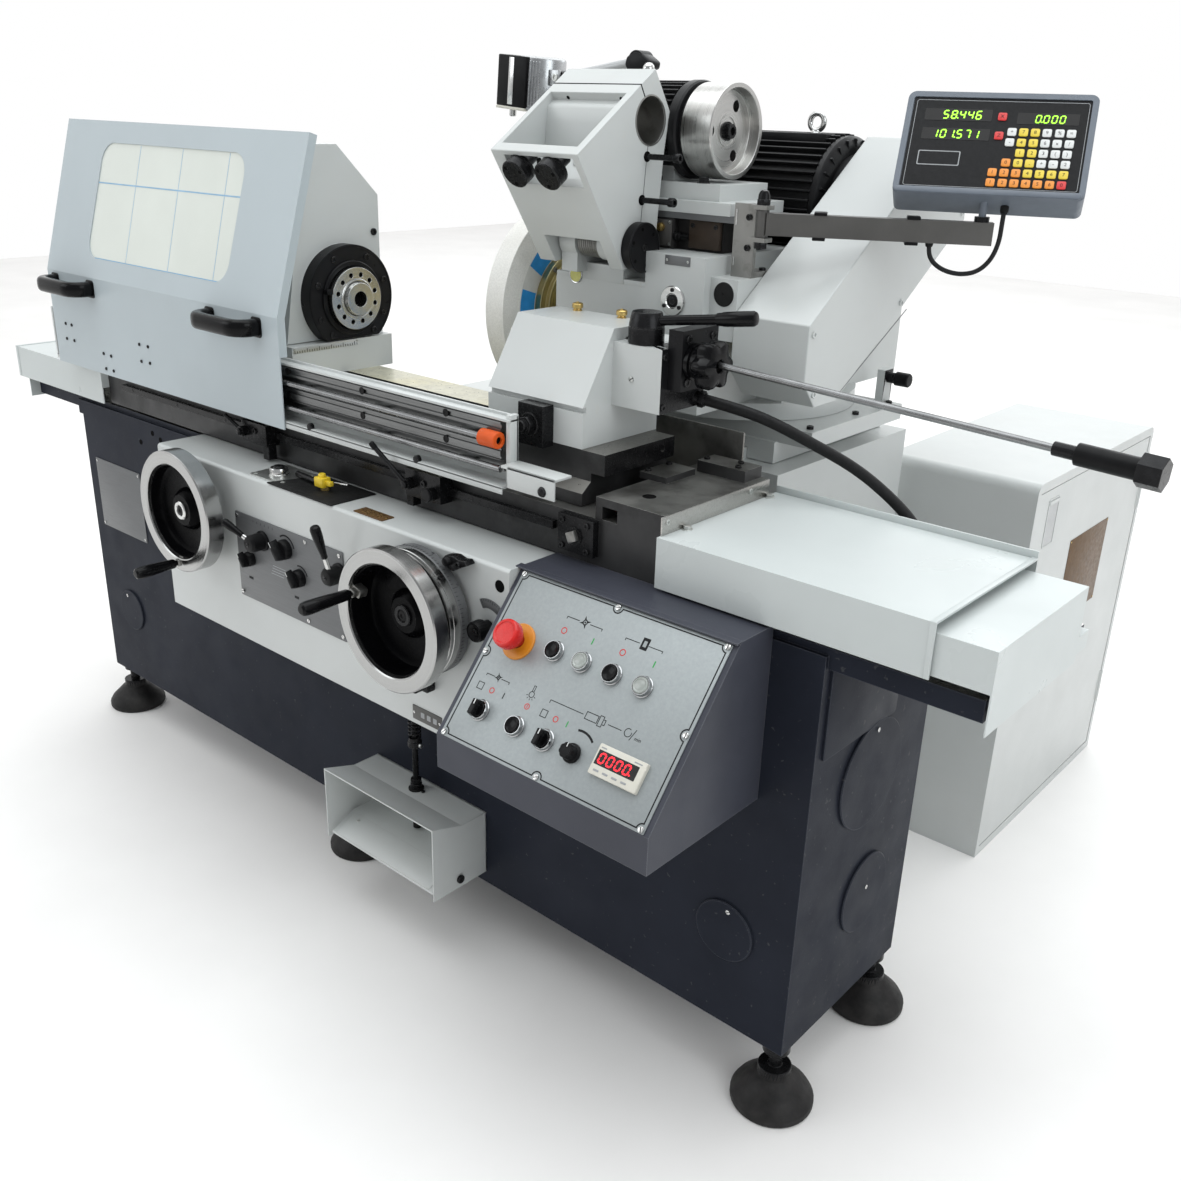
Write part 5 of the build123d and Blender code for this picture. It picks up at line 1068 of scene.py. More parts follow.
# ------------------------------------------------------------------ the bed
plates = Piece("bed_inspection_covers")
for x, z, r in ((-1687, 165, 45), (-109, 157, 47)):
    plates.lathe([(r, -0.5), (r, 3.2), (r - 1.4, 4.4), (0, 4.4)], FRONT(x, 0, z), BED, 72)
    plates.slot_screw((x + (6 if x > -500 else -8), -4.4, z + r - 12), (0, -1, 0), 3.4, 1.6, BRIGHT)
for y, z, r in ((157, 386, 82), (184, 178, 62)):
    plates.lathe([(r, -0.5), (r, 3.2), (r - 1.4, 4.4), (0, 4.4)], RIGHT(0, y, z), BED, 80)
    plates.slot_screw((4.4, y, z + (10 if r < 70 else r - 14)), (1, 0, 0), 3.4, 1.6, BRIGHT)
plates.prism(rrect(110, 538, 190, 150, 5), -0.5, 4.0, BED, RIGHT(0, 0, 0), bevel=1.0)
plates.slot_screw((4.0, 110, 600), (1, 0, 0), 3.6, 1.6, BRIGHT)
# the near-black discs are painted shade of small holes
for x, z in ((-1567, 566), (-1518, 593), (-1490, 585)):
    plates.lathe([(5.2, -0.4), (5.2, 0.6), (3.8, 0.6), (3.6, 0.2), (0, 0.2)], FRONT(x, 0, z), DARK_HOLE, 20)
plates.done("base", "bed_paint")
label = Piece("bed_front_plate")
label.prism(rrect(-1676, 420, 176, 150, 2), -0.3, 1.6, GREY_PLATE, FRONT(0, 0, 0), bevel=0.3)
for x, z in ((-1758, 489), (-1594, 489), (-1758, 351), (-1594, 351)):
    label.slot_screw((x, -1.6, z), (0, -1, 0), 2.6, 0.9, BRIGHT)
label.done("base", "alu")


# ------------------------------------------------------------------ the guard
PANE = frame_of((-1388.5, -47 + 143.3 * 0.2912 + 2 * 0.9567, 887 + 143.3 * 0.9567 - 2 * 0.2912), (1, 0, 0), (0, 0.2912, 0.9567))
screws = Piece("guard_screws")
for x, z in ((-1719, 786), (-1695, 786), (-1722, 756), (-1692, 756), (-1580, 747), (-1552, 746), (-1577, 718), (-1549, 718), (-1441, 784), (-1411, 784), (-1440, 753), (-1410, 754)):
    screws.cap_screw((x, -47, z), (0, -1, 0), 3.1, 1.7)
screws.done("guard", "black_iron")
film = Piece("pane_film_lines")
for pts, wide, deep in (([(-231, 33), (231, 36)], 2.4, 0.25), ([(-205, -105), (206, -105)], 1.8, 0.22), ([(-102, 105), (-94, -105)], 1.2, 0.2), ([(37, 105), (48, -105)], 1.2, 0.2), ([(180, 105), (190, -105)], 1.2, 0.2)):
    strip(film, pts, wide, 0.02, deep, LINE_BLUE, PANE)
film.done("guard", "film")


def bow(piece, pts, a, b, mat, n=24, power=3.0):
    """A bar of rounded square section, a wide in plan and b high, along points at one height."""
    t = bmesh.new()
    rings = []
    for i, p in enumerate(pts):
        d = (Vector(pts[min(len(pts) - 1, i + 1)]) - Vector(pts[max(0, i - 1)])).normalized()
        side = Vector((-d.y, d.x, 0))
        ring = []
        for k in range(n):
            g = 2 * math.pi * k / n
            c, s = math.cos(g), math.sin(g)
            c, s = math.copysign(abs(c) ** (2 / power), c), math.copysign(abs(s) ** (2 / power), s)
            ring.append(t.verts.new(Vector(p) + side * (a * c) + Vector((0, 0, b * s))))
        rings.append(ring)
    for p, q in zip(rings[:-1], rings[1:]):
        for i in range(n):
            j = (i + 1) % n
            t.faces.new((p[i], p[j], q[j], q[i]))
    t.faces.new(list(reversed(rings[0])))
    t.faces.new(rings[-1])
    return piece._take(t, mat, None)


grips = Piece("guard_bow_handles")
for x0 in (-1745, -1205):
    x1 = x0 + 155
    half = [(x0 + 10, -47.2, 866), (x0 + 10, -57, 866)]
    half += [(x0 + 38 + 28 * math.cos(math.radians(a)), -60 + 23 * math.sin(math.radians(a)), 866) for a in range(180, 271, 10)]
    other = [(x0 + x1 - x, y, z) for x, y, z in reversed(half)]
    bow(grips, half + other, 11.0, 14.0, BAKELITE)
    for x in (x0 + 10, x1 - 10):
        grips.prism(rrect(x, 866, 27, 33, 6), 0, 2.0, BAKELITE, FRONT(0, -47, 0), bevel=0.6)
grips.done("guard", "black_plastic", "guard_handles", angle=40)

# ---------------------------------------------------------------- the guard's rail
ALONG = RIGHT(0, 0, 0)
rail = Piece("rail_profile")
rail.prism([(-15, 734), (-15, 806), (-29, 806), (-29, 803), (-26.5, 802), (-26.5, 797), (-29, 796), (-29, 791.5), (-22, 791), (-22, 773), (-29, 772.5), (-29, 769), (-27, 768),
            (-27, 765.5), (-29, 764.5), (-29, 757), (-27, 756), (-27, 753.5), (-29, 752.5), (-29, 751.5), (-22, 751), (-22, 734)], -1781, -520, RAIL, ALONG)
for z, end in ((782, -546), (742, -512)):
    rail.lathe([(4.2, 0), (5, 0.8), (5, end + 1777.2), (4.2, end + 1778)], axis_frame((-1778, -36, z), (1, 0, 0)), ROD, 24)
    for x in range(-1740, -560, 190):
        rail.box(x, x + 26, -33, -22, z - 3.4, z + 3.4, RAIL, 0.6)
for x in (-1771, -1581, -1391, -1201, -1010, -820, -631):
    rail.cap_screw((x, -26.5, 799.5), (0, -1, 0), 4.6, 2.4)
    rail.cap_screw((x, -26.9, 760.8), (0, -1, 0), 5.2, 2.4)
    for z in (799.5, 760.8):
        rail.lathe([(5.8, 26.4), (5.8, 29.4), (5.3, 29.8), (2.8, 29.8), (2.6, 29.4), (0, 29.3)], FRONT(x, 0, z), BLACK, 24)
rail.box(-1782, -1776, -44, -14, 720, 812, WHITE, 0.8)
rail.box(-1781, -502, -15, -11, 714, 816, WHITE, 0.7)
rail.box(-1781, -502, -44, -11, 716, 720, WHITE, 0.8)
rail.box(-1781, -502, -44, -42, 709, 719, WHITE, 0.6)
rail.box(-1781, -502, -30, -11, 808, 812, WHITE, 0.7)
rail.box(-511, -502, -27, -11, 718, 818, WHITE, 1.0)
rail.box(-502.5, -402, -46, -11, 748, 752, WHITE, 0.9)
rail.box(-490, -402, -46, -43, 722, 752, WHITE, 0.9)
for x in (-1560, -1210, -860, -640):
    rail.box(x, x + 60, -12, 39.8, 738, 766, WHITE, 1.0)
rail.lathe([(5.5, 0), (11, 0), (12, 1), (12, 33), (11, 34), (5.5, 34)], axis_frame((-549, -36, 782), (1, 0, 0)), ORANGE, 36, closed=True)
# near-black: painted shade of the bumper's bore
rail.lathe([(5.6, 0), (5.6, 29), (0, 29.2)], axis_frame((-548, -36, 782), (1, 0, 0)), DARK_HOLE, 24)
for x in (-1200, -940, -682):
    rail.lathe([(6.2, -3), (6.2, 2.8), (5.2, 3.8), (2.2, 4.2), (0, 4.3)], axis_frame((x, -40.5, 722), (0, -1, 0)), BLACK_OXIDE, 24)
rail.lathe([(7.5, -3), (7.5, 3), (6, 5.6), (2.5, 7), (0, 7.3)], axis_frame((-424, -43, 731), (0, -1, 0)), BLACK_OXIDE, 24)
rail.done("swivel_table", "ground_steel", "guard_rail")

# ---------------------------------------------------------------- table fittings
fit = Piece("table_stop_fittings")
for x, z in ((-417, 687), (-372, 687), (-417, 650), (-372, 650)):
    fit.cap_screw((x, -12, z), (0, -1, 0), 4.4, 2.6)
turn = Matrix.Rotation(math.radians(24), 4, "Z")
fit.lathe([(13, 0), (13, 1.8), (0, 1.8)], FRONT(-394, -12, 668), BLACK_OXIDE, 24)
fit.prism(rrect(0, 0, 15, 15, 1.2), 1.5, 9.0, DARK_STEEL, FRONT(-394, -12, 668) @ turn, bevel=0.7)
fit.box(-251, -248.4, -8, 240, 703.1, 728, STEEL, 0.5)
for y in (3, 192):
    fit.cap_screw((-248.4, y, 720), (1, 0, 0), 4.0, 1.6, ZINC)
for x, y in ((-247, 39), (-248, 236)):
    fit.hex_bolt((x + 4, y, 703), (0, 0, 1), 6.2, 5.2, ZINC, 0.4, 1.0)
for x, y in ((-353, 210), (-290, 226), (-280, 205)):
    fit.cap_screw((x if x > -345 else -338, y, 745), (0, 0, 1), 4.6, 3.2)
for x, y in ((-376, 122), (-376, 170)):
    fit.cap_screw((x, y, 737), (0, 0, 1), 4.6, 3.2)
# near-black ring: painted shade of a hole in the table top
fit.lathe([(9.6, 0), (9.6, 0.8), (8.6, 1.0), (8.6, 0.2), (0, 0.2)], TOP(-317, 51, 727.4), DARK_HOLE, 24)
for x in range(-1560, -460, 160):
    fit.cap_screw((x, -9, 672), (0, -1, 0), 3.2, 0.5)
fit.done("table", "black_iron")
hem = Piece("cover_hems")
hem.box(128, 135.4, -15.6, 266, 702.6, 704.2, COVER, 0.5)
hem.box(128, 135.4, -16.2, -14.6, 634.4, 703.8, COVER, 0.5)
hem.box(-250.8, 135, 263.4, 266.4, 702.6, 713, COVER, 0.7)
hem.box(-2035, -2027, -15.6, 266, 692.6, 694.2, COVER, 0.5)
hem.box(-2035, -2027, -16.2, -14.6, 628.4, 693.8, COVER, 0.5)
hem.done("table", "cover_white")

# ---------------------------------------------------------------- trip dogs
for name, body, hub, knob in (("dog_left_screws", "dog_left", (-1150, -38, 674), (-1122, -26, 678)), ("dog_right_screws", "dog_right", (-714, -40, 676), (-686, -26, 680))):
    d = Piece(name)
    d.hex_bolt(hub, (0, -1, 0), 7.0, 4.0, BLACK_OXIDE, 0.3)
    d.cap_screw(knob, (0, -1, 0), 5.2, 3.0)
    if body == "dog_right":
        d.lathe([(10, 0), (10.6, 1), (10.6, 4), (9.4, 5.2), (4, 5.6), (0, 5.6)], axis_frame((-664, -38, 670), (0, -1, 0)), BLACK_PAINT, 28)
        tip = Vector((-751, -70, 738)) - Vector((-714, -36, 676))
        d.lathe([(3.9, 0), (4.4, 1), (4.4, 9), (3, 11), (0, 11.5)], axis_frame(Vector((-751, -70, 738)) - tip.normalized() * 9, tip), BLACK, 20)
    d.done(body, "black_iron")

# ---------------------------------------------------------------- the workhead
nose = Piece("workhead_cap_rings")
NOSE = axis_frame((-1050, 140, 897), (1, 0, 0))
nose.lathe([(54, -1), (62, -1), (62, 3.0), (60.6, 4.2), (55, 4.2), (54, 3.6)], NOSE, BLACK_PAINT, 72, closed=True)
nose.lathe([(84.2, -1), (86.6, -1), (86.6, 0.9), (84.2, 0.9)], NOSE, BLACK_PAINT, 96, closed=True, shape=lambda a, k: min(1.0, 66.5 / 86.6 / max(1e-6, -math.sin(a))) if math.sin(a) < 0 else 1.0)
for a in (20, 62, 118, 160, 205, 233, 307, 335):
    nose.cap_screw((-1050.2, 140 + 74 * math.cos(math.radians(a)), 897 + 74 * math.sin(math.radians(a))), (1, 0, 0), 5.6, 2.6)
nose.box(-1046.5, -1034.4, 78, 90, 908, 917, BLACK_OXIDE, 0.8)
nose.cap_screw((-1075, 212, 1000), (1, 0, 0), 6.0, 3.0)
nose.done("workhead", "gloss_black")
scale = Piece("swivel_scale")
scale.box(-1052, -1051.2, 14, 150, 815.5, 825.4, ALU, 0.3)
for k in range(27):
    y = 17 + 5 * k
    scale.box(-1051.4, -1050.9, y - 0.45, y + 0.45, 815.9, 822.4 if k % 5 == 0 else 819.6, PRINT)
for y in (16, 148):
    scale.slot_screw((-1051.2, y, 823), (1, 0, 0), 2.0, 0.9)
for x in (-1420, -1084):
    for y in (22,):
        scale.cap_screw((x, 12, 799), (0, -1, 0), 6.5, 5.0)
scale.done("swivel_table", "alu")
# the near-black discs are painted shade of the spindle face's holes
face = Piece("spindle_face_holes")
for k in range(12):
    a = math.radians(15 + 30 * k)
    face.lathe([(3.95, 0), (3.95, 0.6), (0, 0.7)], axis_frame((-1042, 140 + 40 * math.cos(a), 897 + 40 * math.sin(a)), (1, 0, 0)), DARK_HOLE, 16)
face.lathe([(12.95, 0), (12.95, 0.8), (0, 1.0)], axis_frame((-1046, 140, 897), (1, 0, 0)), DARK_HOLE, 28)
face.lathe([(33.5, 0), (33.5, 1.2), (32.2, 2.0), (31, 2.0), (31, 0)], axis_frame((-1036, 140, 897), (1, 0, 0)), TURNED_W, 60, closed=True)
face.done("work_spindle_body", "bright_steel")
lid = Piece("workhead_rear_cover")
lid.prism([(48, 846), (96, 1120), (132, 1120), (205, 1050), (205, 846)], 0, 2.5, SHEET, frame_of((-1443, 0, 0), (0, 1, 0), (0, 0, 1)) @ Matrix.Scale(-1, 4, (0, 0, 1)), bevel=0.6)
for y, z in ((60, 856), (100, 1108), (195, 1045), (195, 856)):
    lid.cap_screw((-1445.5, y, z), (-1, 0, 0), 4.2, 2.5)
lid.done("workhead", "white_paint")

# ---------------------------------------------------------------- the tailstock
tail = Piece("tailstock_fittings")
for x in (-567, -482):
    tail.lathe([(7.0, 0), (7.0, 1.8), (5.8, 2.4), (5.6, 3.2), (7.6, 4.2), (8.2, 5.4), (8.2, 10.2), (7.4, 11.2), (5.0, 12.2), (2.4, 12.6), (2.0, 13.2), (0, 13.4)], TOP(x, 179, 930.6), BRASS, 36)
tail.lathe([(16.5, 0), (16.5, 2.6), (15.8, 3.2), (0, 3.2)], axis_frame((-508, 18, 798), (0, -1, 0)), BLACK_OXIDE, 32)
tail.hex_bolt((-508, 15, 798), (0, -1, 0), 13.0, 10.0, BLACK_OXIDE, 0.25)
tail.lathe([(8.2, 0), (8.2, 6.5), (7.2, 8.0), (0, 8.4)], axis_frame((-508, 5.2, 798), (0, -1, 0)), BLACK_OXIDE, 24)
tail.slot_screw((-396, 100, 867), (0, -1, 0), 4.2, 1.4, ZINC)
for y, z in ((106.5, 904), (106.5, 835), (193, 835)):
    tail.cap_screw((-345, y, z), (1, 0, 0), 5.0, 2.4)
for y in (127, 182):
    for z in (928, 870):
        tail.cap_screw((-322, y, z), (1, 0, 0), 6.2, 2.2)
tail.hex_bolt((-343, 187, 836.5), (0.94, 0.31, -0.14), 12.5, 9.0, BLACK_OXIDE, 0.2)
tail.done("tailstock", "black_iron")
hub = Piece("quill_lever_arm")
hub.lathe([(8, 905), (8, 914.6), (24.4, 914.6), (25, 915.2), (25, 936), (24.2, 936.6), (24.2, 937.6), (24.8, 938.2), (21.2, 955.6), (20, 957), (0, 957)], TOP(-392, 124, 0), BLACK_OXIDE, 60)
LEV = Vector((-228, 142, 966)) - Vector((-392, 124, 944))
hub.lathe([(6.8, 14), (6.8, LEV.length * 0.66), (8.4, LEV.length * 0.66), (8.8, LEV.length * 0.70), (9.6, LEV.length * 0.72), (10, LEV.length * 0.84), (10, LEV.length - 4), (8.4, LEV.length - 0.8), (6.5, LEV.length), (0, LEV.length)],
          axis_frame((-392, 124, 944), LEV), BAKELITE, 36)
hub.done("lever", "black_iron", "quill_lever")
star = Piece("star_knob_grip")
star.lathe([(8.6, -340), (20, -340), (20, -321.4), (25, -321.4), (25, -315), (22, -314), (22, -305), (28.4, -303.6), (30.4, -300), (30.4, -284), (28.2, -279.6), (22, -278), (16, -277.4), (9.8, -277.4), (8.6, -278.6)],
           axis_frame((0, 140, 897), (1, 0, 0)), BAKELITE, 120, closed=True, shape=lambda a, k: 1.0 + 0.13 * math.cos(6 * a) if 7 <= k <= 11 else 1.0)
# near-black disc: painted shade of the knob's bore
star.lathe([(8.7, -300), (8.7, -283), (0, -283.2)], axis_frame((0, 140, 897), (1, 0, 0)), DARK_HOLE, 36)
star.done("star", "gloss_black", "star_knob", angle=40)


# ------------------------------------------------------------- the grinding wheel
wheel = Piece("wheel_blotters")
for M in (RIGHT(-757, 378, 897), frame_of((-797, 378, 897), (0, -1, 0), (0, 0, 1))):
    wheel.prism(arc_strip(0, 0, 92.5, 127, 0, 359.9, 96), -0.1, 0.35, BLOTTER_WHITE, M)
    for k in range(9):
        wheel.prism(arc_strip(0, 0, 93.5, 126, 40 * k + 3, 40 * k + 25, 14), 0.3, 0.6, BLOTTER_BLUE, M)
for k in range(6):
    a = math.radians(60 * k + 12)
    wheel.cap_screw((-744.2, 378 + 86 * math.cos(a), 897 + 86 * math.sin(a)), (1, 0, 0), 4.2, 2.0, DARK_STEEL)
    wheel.cap_screw((-811.8, 378 + 70 * math.cos(a), 897 + 70 * math.sin(a)), (-1, 0, 0), 6.0, 4.0)
wheel.lathe([(70, 0), (74, 0), (74, 1.0), (70, 1.0)], axis_frame((-736, 378, 897), (1, 0, 0)), FLANGE, 72, closed=True)
wheel.hex_bolt((-832, 378, 897), (-1, 0, 0), 17, 8, BLACK_OXIDE, 0.1)
wheel.done("wheel", "abrasive")

# ---------------------------------------------------------------- the wheelhead
port = Piece("wheelhead_oil_port")
PORT = axis_frame((-460, 270, 949), (0, -1, 0))
port.lathe([(22, -1), (22, 1.8), (20.6, 3.2), (11.5, 3.2), (10.2, 1.4), (0, 1.0)], PORT, BRIGHT, 48)
port.lathe([(9.8, 0.9), (9.8, 2.0), (5.2, 2.6), (4.6, 1.6), (0, 1.4)], PORT, BLACK_OXIDE, 28)
for a in (90, 210, 330):
    port.cap_screw((-460 + 16 * math.cos(math.radians(a)), 266.9, 949 + 16 * math.sin(math.radians(a))), (0, -1, 0), 3.0, 1.5)
port.done("wheelhead", "bright_steel")
sight = Piece("oil_sight")
sight.lathe([(11.5, -1), (11.5, 1.0), (10.4, 1.8), (0, 2.4)], axis_frame((-652, 270, 967), (0, -1, 0)), SIGHT, 40)
sight.lathe([(11.3, -0.5), (13.4, -0.5), (13.4, 1.2), (12.6, 2.0), (11.3, 1.6)], axis_frame((-652, 270, 967), (0, -1, 0)), BRIGHT, 40, closed=True)
sight.done("wheelhead", "clear_plastic")
saddle = Piece("wheelhead_saddle")
saddle.box(-693.6, -664, 270, 346, 961, 970, WHITE, 1.2)
saddle.box(-664, -556.5, 270, 346, 961, 988, WHITE, 1.2)
saddle.box(-556.5, -513.9, 270, 346, 961, 970, WHITE, 1.2)
saddle.done("wheelhead", "white_paint")
plug = Piece("wheelhead_plugs")
PLUG = axis_frame((-380, 285, 966), (0, -1, 0))
plug.lathe([(17.5, -1), (17.5, 1.0), (16.4, 2.0), (2.5, 2.4), (2.0, 1.4), (0, 1.2)], PLUG, RUBBER, 36)
plug.lathe([(17.4, -1), (19, -1), (19, 0.8), (17.4, 0.8)], PLUG, WHITE, 36, closed=True)
plug.box(-478, -432, 269.2, 270.5, 1000, 1013.6, GREY_PLATE, 0.3)
for x in (-474, -436):
    plug.slot_screw((x, 269.2, 1006.8), (0, -1, 0), 1.8, 0.7)
plug.done("wheelhead", "black_plastic")

box = Piece("wheelhead_junction_box")
box.box(-546, -508, 326, 338.4, 1015.2, 1060, IRON, 1.6)
box.box(-543, -511, 324.2, 326.4, 1019, 1057, ARM_GREY, 1.0)
for x, z in ((-540, 1022), (-514, 1022), (-540, 1054), (-514, 1054)):
    box.slot_screw((x, 324.2, z), (0, -1, 0), 2.2, 1.0)
box.lathe([(7.5, 0), (7.5, 5), (6.2, 6), (6.2, 10), (4.4, 11), (4.4, 26), (0, 26)], axis_frame((-508.4, 332, 1034), (1, 0, 0)), BLACK, 24)
box.lathe([(6.4, 0), (6.4, 4), (4.6, 5), (0, 5.4)], axis_frame((-530, 324.2, 1046), (0, -1, 0)), BRASS, 20)
box.box(-483, -427, 331, 338.4, 1019, 1060, TERMINAL, 1.2)
for x in (-476, -434):
    box.cap_screw((x, 331, 1052), (0, -1, 0), 3.4, 1.8)
box.done("wheelhead", "black_iron")

pivot = Piece("pivot_cap_details")
CAPC = (-514, 265, 1020)
pivot.lathe([(33.5, -1), (36.4, -1), (36.4, 0.2), (35, 1.4), (33.5, 0.8)], axis_frame(CAPC, (1, 0, 0)), BLACK_PAINT, 72, closed=True)
# near-black discs: painted shade of the cap's holes
for a in (30, 90, 150, 210, 270, 330):
    pivot.lathe([(2.6, 0), (2.6, 0.25), (0, 0.3)], axis_frame((-514, 265 + 27 * math.cos(math.radians(a + 12)), 1020 + 27 * math.sin(math.radians(a + 12))), (1, 0, 0)), DARK_HOLE, 16)
pivot.cap_screw((-514, 265, 1020), (1, 0, 0), 6.0, 1.6)
helix = []
for k in range(9 * 24 + 1):
    a = 2 * math.pi * k / 24
    helix.append((-628 + 38 * k / (9 * 24), 265 + 20.5 * math.cos(a), 1020 + 20.5 * math.sin(a)))
pivot.tube(helix, 1.9, DARK_STEEL, 10)
pivot.lathe([(14.2, 0), (18.6, 0), (18.6, 40), (14.2, 40)], axis_frame((-629, 265, 1020), (1, 0, 0)), TERMINAL, 36, closed=True)
pivot.done("wheelhead", "gloss_black")

# ------------------------------------------------------------ the internal bracket
FN = Vector((0, -0.830, -0.558))
knobs = Piece("bracket_clamp_knobs")
for x in (-652, -588):
    base = Vector((x, 129 + 28 * 0.558, 1150 - 28 * 0.830)) - FN * 29.5
    M = axis_frame(base, FN)
    knobs.lathe([(9, 0), (9, 24), (20.8, 24.5), (22, 25.6), (22, 30.8), (20.6, 31.2), (20.6, 32.0), (22, 32.4), (22, 45.2), (20.8, 46.5), (0, 46.5)], M, BLACK_OXIDE, 60)
    # near-black discs: painted shade of the knob's holes
    for a in (20, 140, 260):
        c = M @ Vector((15.5 * math.cos(math.radians(a)), 15.5 * math.sin(math.radians(a)), 46.5))
        knobs.lathe([(3.2, -0.4), (3.2, 0.2), (0, 0.25)], axis_frame(c, FN), DARK_HOLE, 18)
ROD_ENDS = [Vector((x, 129 + d * 0.558, 1150 - d * 0.830)) - FN * 3.5 for x, d in ((-612, 14), (-624, 48))]
knobs.tube(ROD_ENDS, 3.5, BLACK_OXIDE, 16)
knobs.done("bracket", "black_iron")
slits = Piece("bracket_joints")
SLOPE = frame_of((0, 129, 1150), (1, 0, 0), (0, 0.8222, 0.5692))
slits.box(-699, -530, 161.0, 163.4, -0.6, 0.12, DARK_HOLE, 0, SLOPE)
SIDE = RIGHT(-530, 0, 0)
strip(slits, [(262.2, 1241.6), (273, 1224)], 2.2, -0.6, 0.12, DARK_HOLE, SIDE)
strip(slits, [(283, 1162.4), (272, 1034)], 1.4, -0.5, 0.1, GREY_PLATE, SIDE)
# near-black discs: painted shade of two holes in the slope
for x in (-658, -556):
    slits.lathe([(3.0, 0), (3.0, 0.25), (0, 0.3)], axis_frame(SLOPE @ Vector((x, 141, -9)), SLOPE.to_3x3() @ Vector((0, -1, 0))), DARK_HOLE, 16)
slits.lathe([(33.0, 0), (35.0, 0), (35.0, 0.5), (33.0, 1.0)], axis_frame((-530, 287, 1195), (1, 0, 0)), DARK_STEEL, 72, closed=True)
# the near-black disc round each bolt is painted shade of its hole
for y, z in ((282, 1146), (274, 1086)):
    slits.lathe([(4.2, 0), (4.2, 52), (6.3, 52), (6.5, 53), (6.5, 61), (6.0, 62), (3.6, 62), (3.4, 56), (0, 55.6)], axis_frame((-531, y, z), (1, 0, 0)), BLACK_OXIDE, 24)
    slits.lathe([(7.4, 0), (7.4, 1.2), (0, 1.2)], axis_frame((-530.2, y, z), (1, 0, 0)), DARK_HOLE, 24)
slits.done("bracket", "black_iron")
hollow = Piece("bracket_pocket_slope")
VW = SLOPE @ Matrix((Vector((0, 1, 0)), Vector((0, 0, 1)), Vector((1, 0, 0)))).transposed().to_4x4()
hollow.prism([(141.4, -14.6), (141.4, -12.4), (133, -12.3), (127, -12.6), (122, -15.0), (110.2, -29.0), (97, -45.6), (84, -62.2), (84, -62.8), (118, -62.8), (126, -30.8)], -689.4, -542.6, WHITE, VW)
hollow.lathe([(10, 0), (16, 0), (16, 2.4), (15, 3.2), (11, 3.2), (10, 2.4)], SLOPE @ Matrix.Translation((-600, 70, -62.2)), WHITE, 48, closed=True)
hollow.done("bracket", "white_paint")

# ---------------------------------------------------------------------- the motors
fins = Piece("main_motor_fins")
for k in range(45):
    a = 8.0 * k
    if 238 < a < 302 or a > 326 or a < 34:
        continue
    M = Matrix.Translation((0, 600, 1080)) @ Matrix.Rotation(math.radians(a), 4, "X")
    fins.box(-628, -384, 93, 103.5, -1.5, 1.5, MOTOR, 0.5, M, segments=1)
fins.lathe([(88, 0), (97, 0), (99, 2), (99, 12), (96, 14), (88, 14)], axis_frame((-641, 600, 1080), (1, 0, 0)), MOTOR, 72, closed=True)
fins.lathe([(60, 0), (98.5, 0), (100.5, 2), (100.5, 10), (97, 14), (82, 19), (60, 19)], axis_frame((-386, 600, 1080), (1, 0, 0)), MOTOR, 72, closed=True)
for k in range(24):
    M = Matrix.Translation((0, 600, 1080)) @ Matrix.Rotation(math.radians(15 * k), 4, "X")
    fins.box(-374, -367.5, 84, 97, -1.6, 1.6, MOTOR, 0.5, M, segments=1)
    fins.box(-661, -657, 30, 74, -2.2, 2.2, MOTOR, 0.6, M, segments=1)
fins.box(-600, -400, 560, 640, 1166, 1182.5, MOTOR, 2.0)
fins.box(-548, -442, 734, 740, 1044, 1136, MOTOR, 2.0)
for x in (-540, -450):
    for z in (1052, 1128):
        fins.cap_screw((x, 740, z), (0, 1, 0), 4.0, 2.2, ZINC)
fins.lathe([(11, 0), (11, 4), (9, 5), (9, 16), (6, 17), (0, 17)], axis_frame((-495, 713, 1044), (0, 0, -1)), BLACK, 24)
for x in (-595, -415):
    for y in (540, 668):
        fins.hex_bolt((x, y, 1003), (0, 0, 1), 9, 9, BLACK_OXIDE, 0.3, 2)
fins.done("wheelhead", "motor_black")
eye = Piece("motor_eye_bolt")
eye.lathe([(12, 0), (12, 4), (8.5, 6), (7.5, 11), (0, 12)], TOP(-442, 600, 1176), BRIGHT, 32)
eye.tube([(-442 + 12.5 * math.cos(2 * math.pi * k / 40), 600, 1199 + 12.5 * math.sin(2 * math.pi * k / 40)) for k in range(41)], 4.6, BRIGHT, 14, cap=False)
eye.done("wheelhead", "bright_steel", angle=60)
small = Piece("internal_motor_fins")
for k in range(40):
    a = 9.0 * k
    if 222 < a < 318:
        continue
    M = Matrix.Translation((0, 397, 1183)) @ Matrix.Rotation(math.radians(a), 4, "X")
    small.box(-688, -536, 60.5, 68.5, -1.3, 1.3, MOTOR, 0.4, M, segments=1)
small.lathe([(50, 0), (68, 0), (70, 2), (70, 15), (68, 18), (54, 20), (50, 20)], axis_frame((-534, 397, 1183), (1, 0, 0)), MOTOR, 64, closed=True)
small.lathe([(56, 0), (66, 0), (67.5, 2), (67.5, 12), (62, 15), (56, 15)], axis_frame((-702, 397, 1183), (1, 0, 0)), MOTOR, 64, closed=True)
for k in range(10):
    M = Matrix.Translation((0, 397, 1183)) @ Matrix.Rotation(math.radians(36 * k), 4, "X")
    small.box(-702.5, -699, 16, 52, -2.4, 2.4, MOTOR, 0.6, M, segments=1)
small.lathe([(9.5, 0), (9.5, 1.4), (7.6, 1.4), (7.6, 8.6), (7.0, 9.4), (4, 9.4), (4, 5), (0, 5)], TOP(-472, 346, 1111), BLACK_OXIDE, 28)
for x in (-676, -560):
    small.cap_screw((x, 350, 1111), (0, 0, 1), 6.5, 6.5)
    small.cap_screw((x + 20, 328, 1078), (0, -1, 0), 4.0, 2.0)
small.done("wheelhead", "motor_black")
spool = Piece("internal_pulley_bolt")
PUL = axis_frame((-472, 397, 1183), (1, 0, 0))
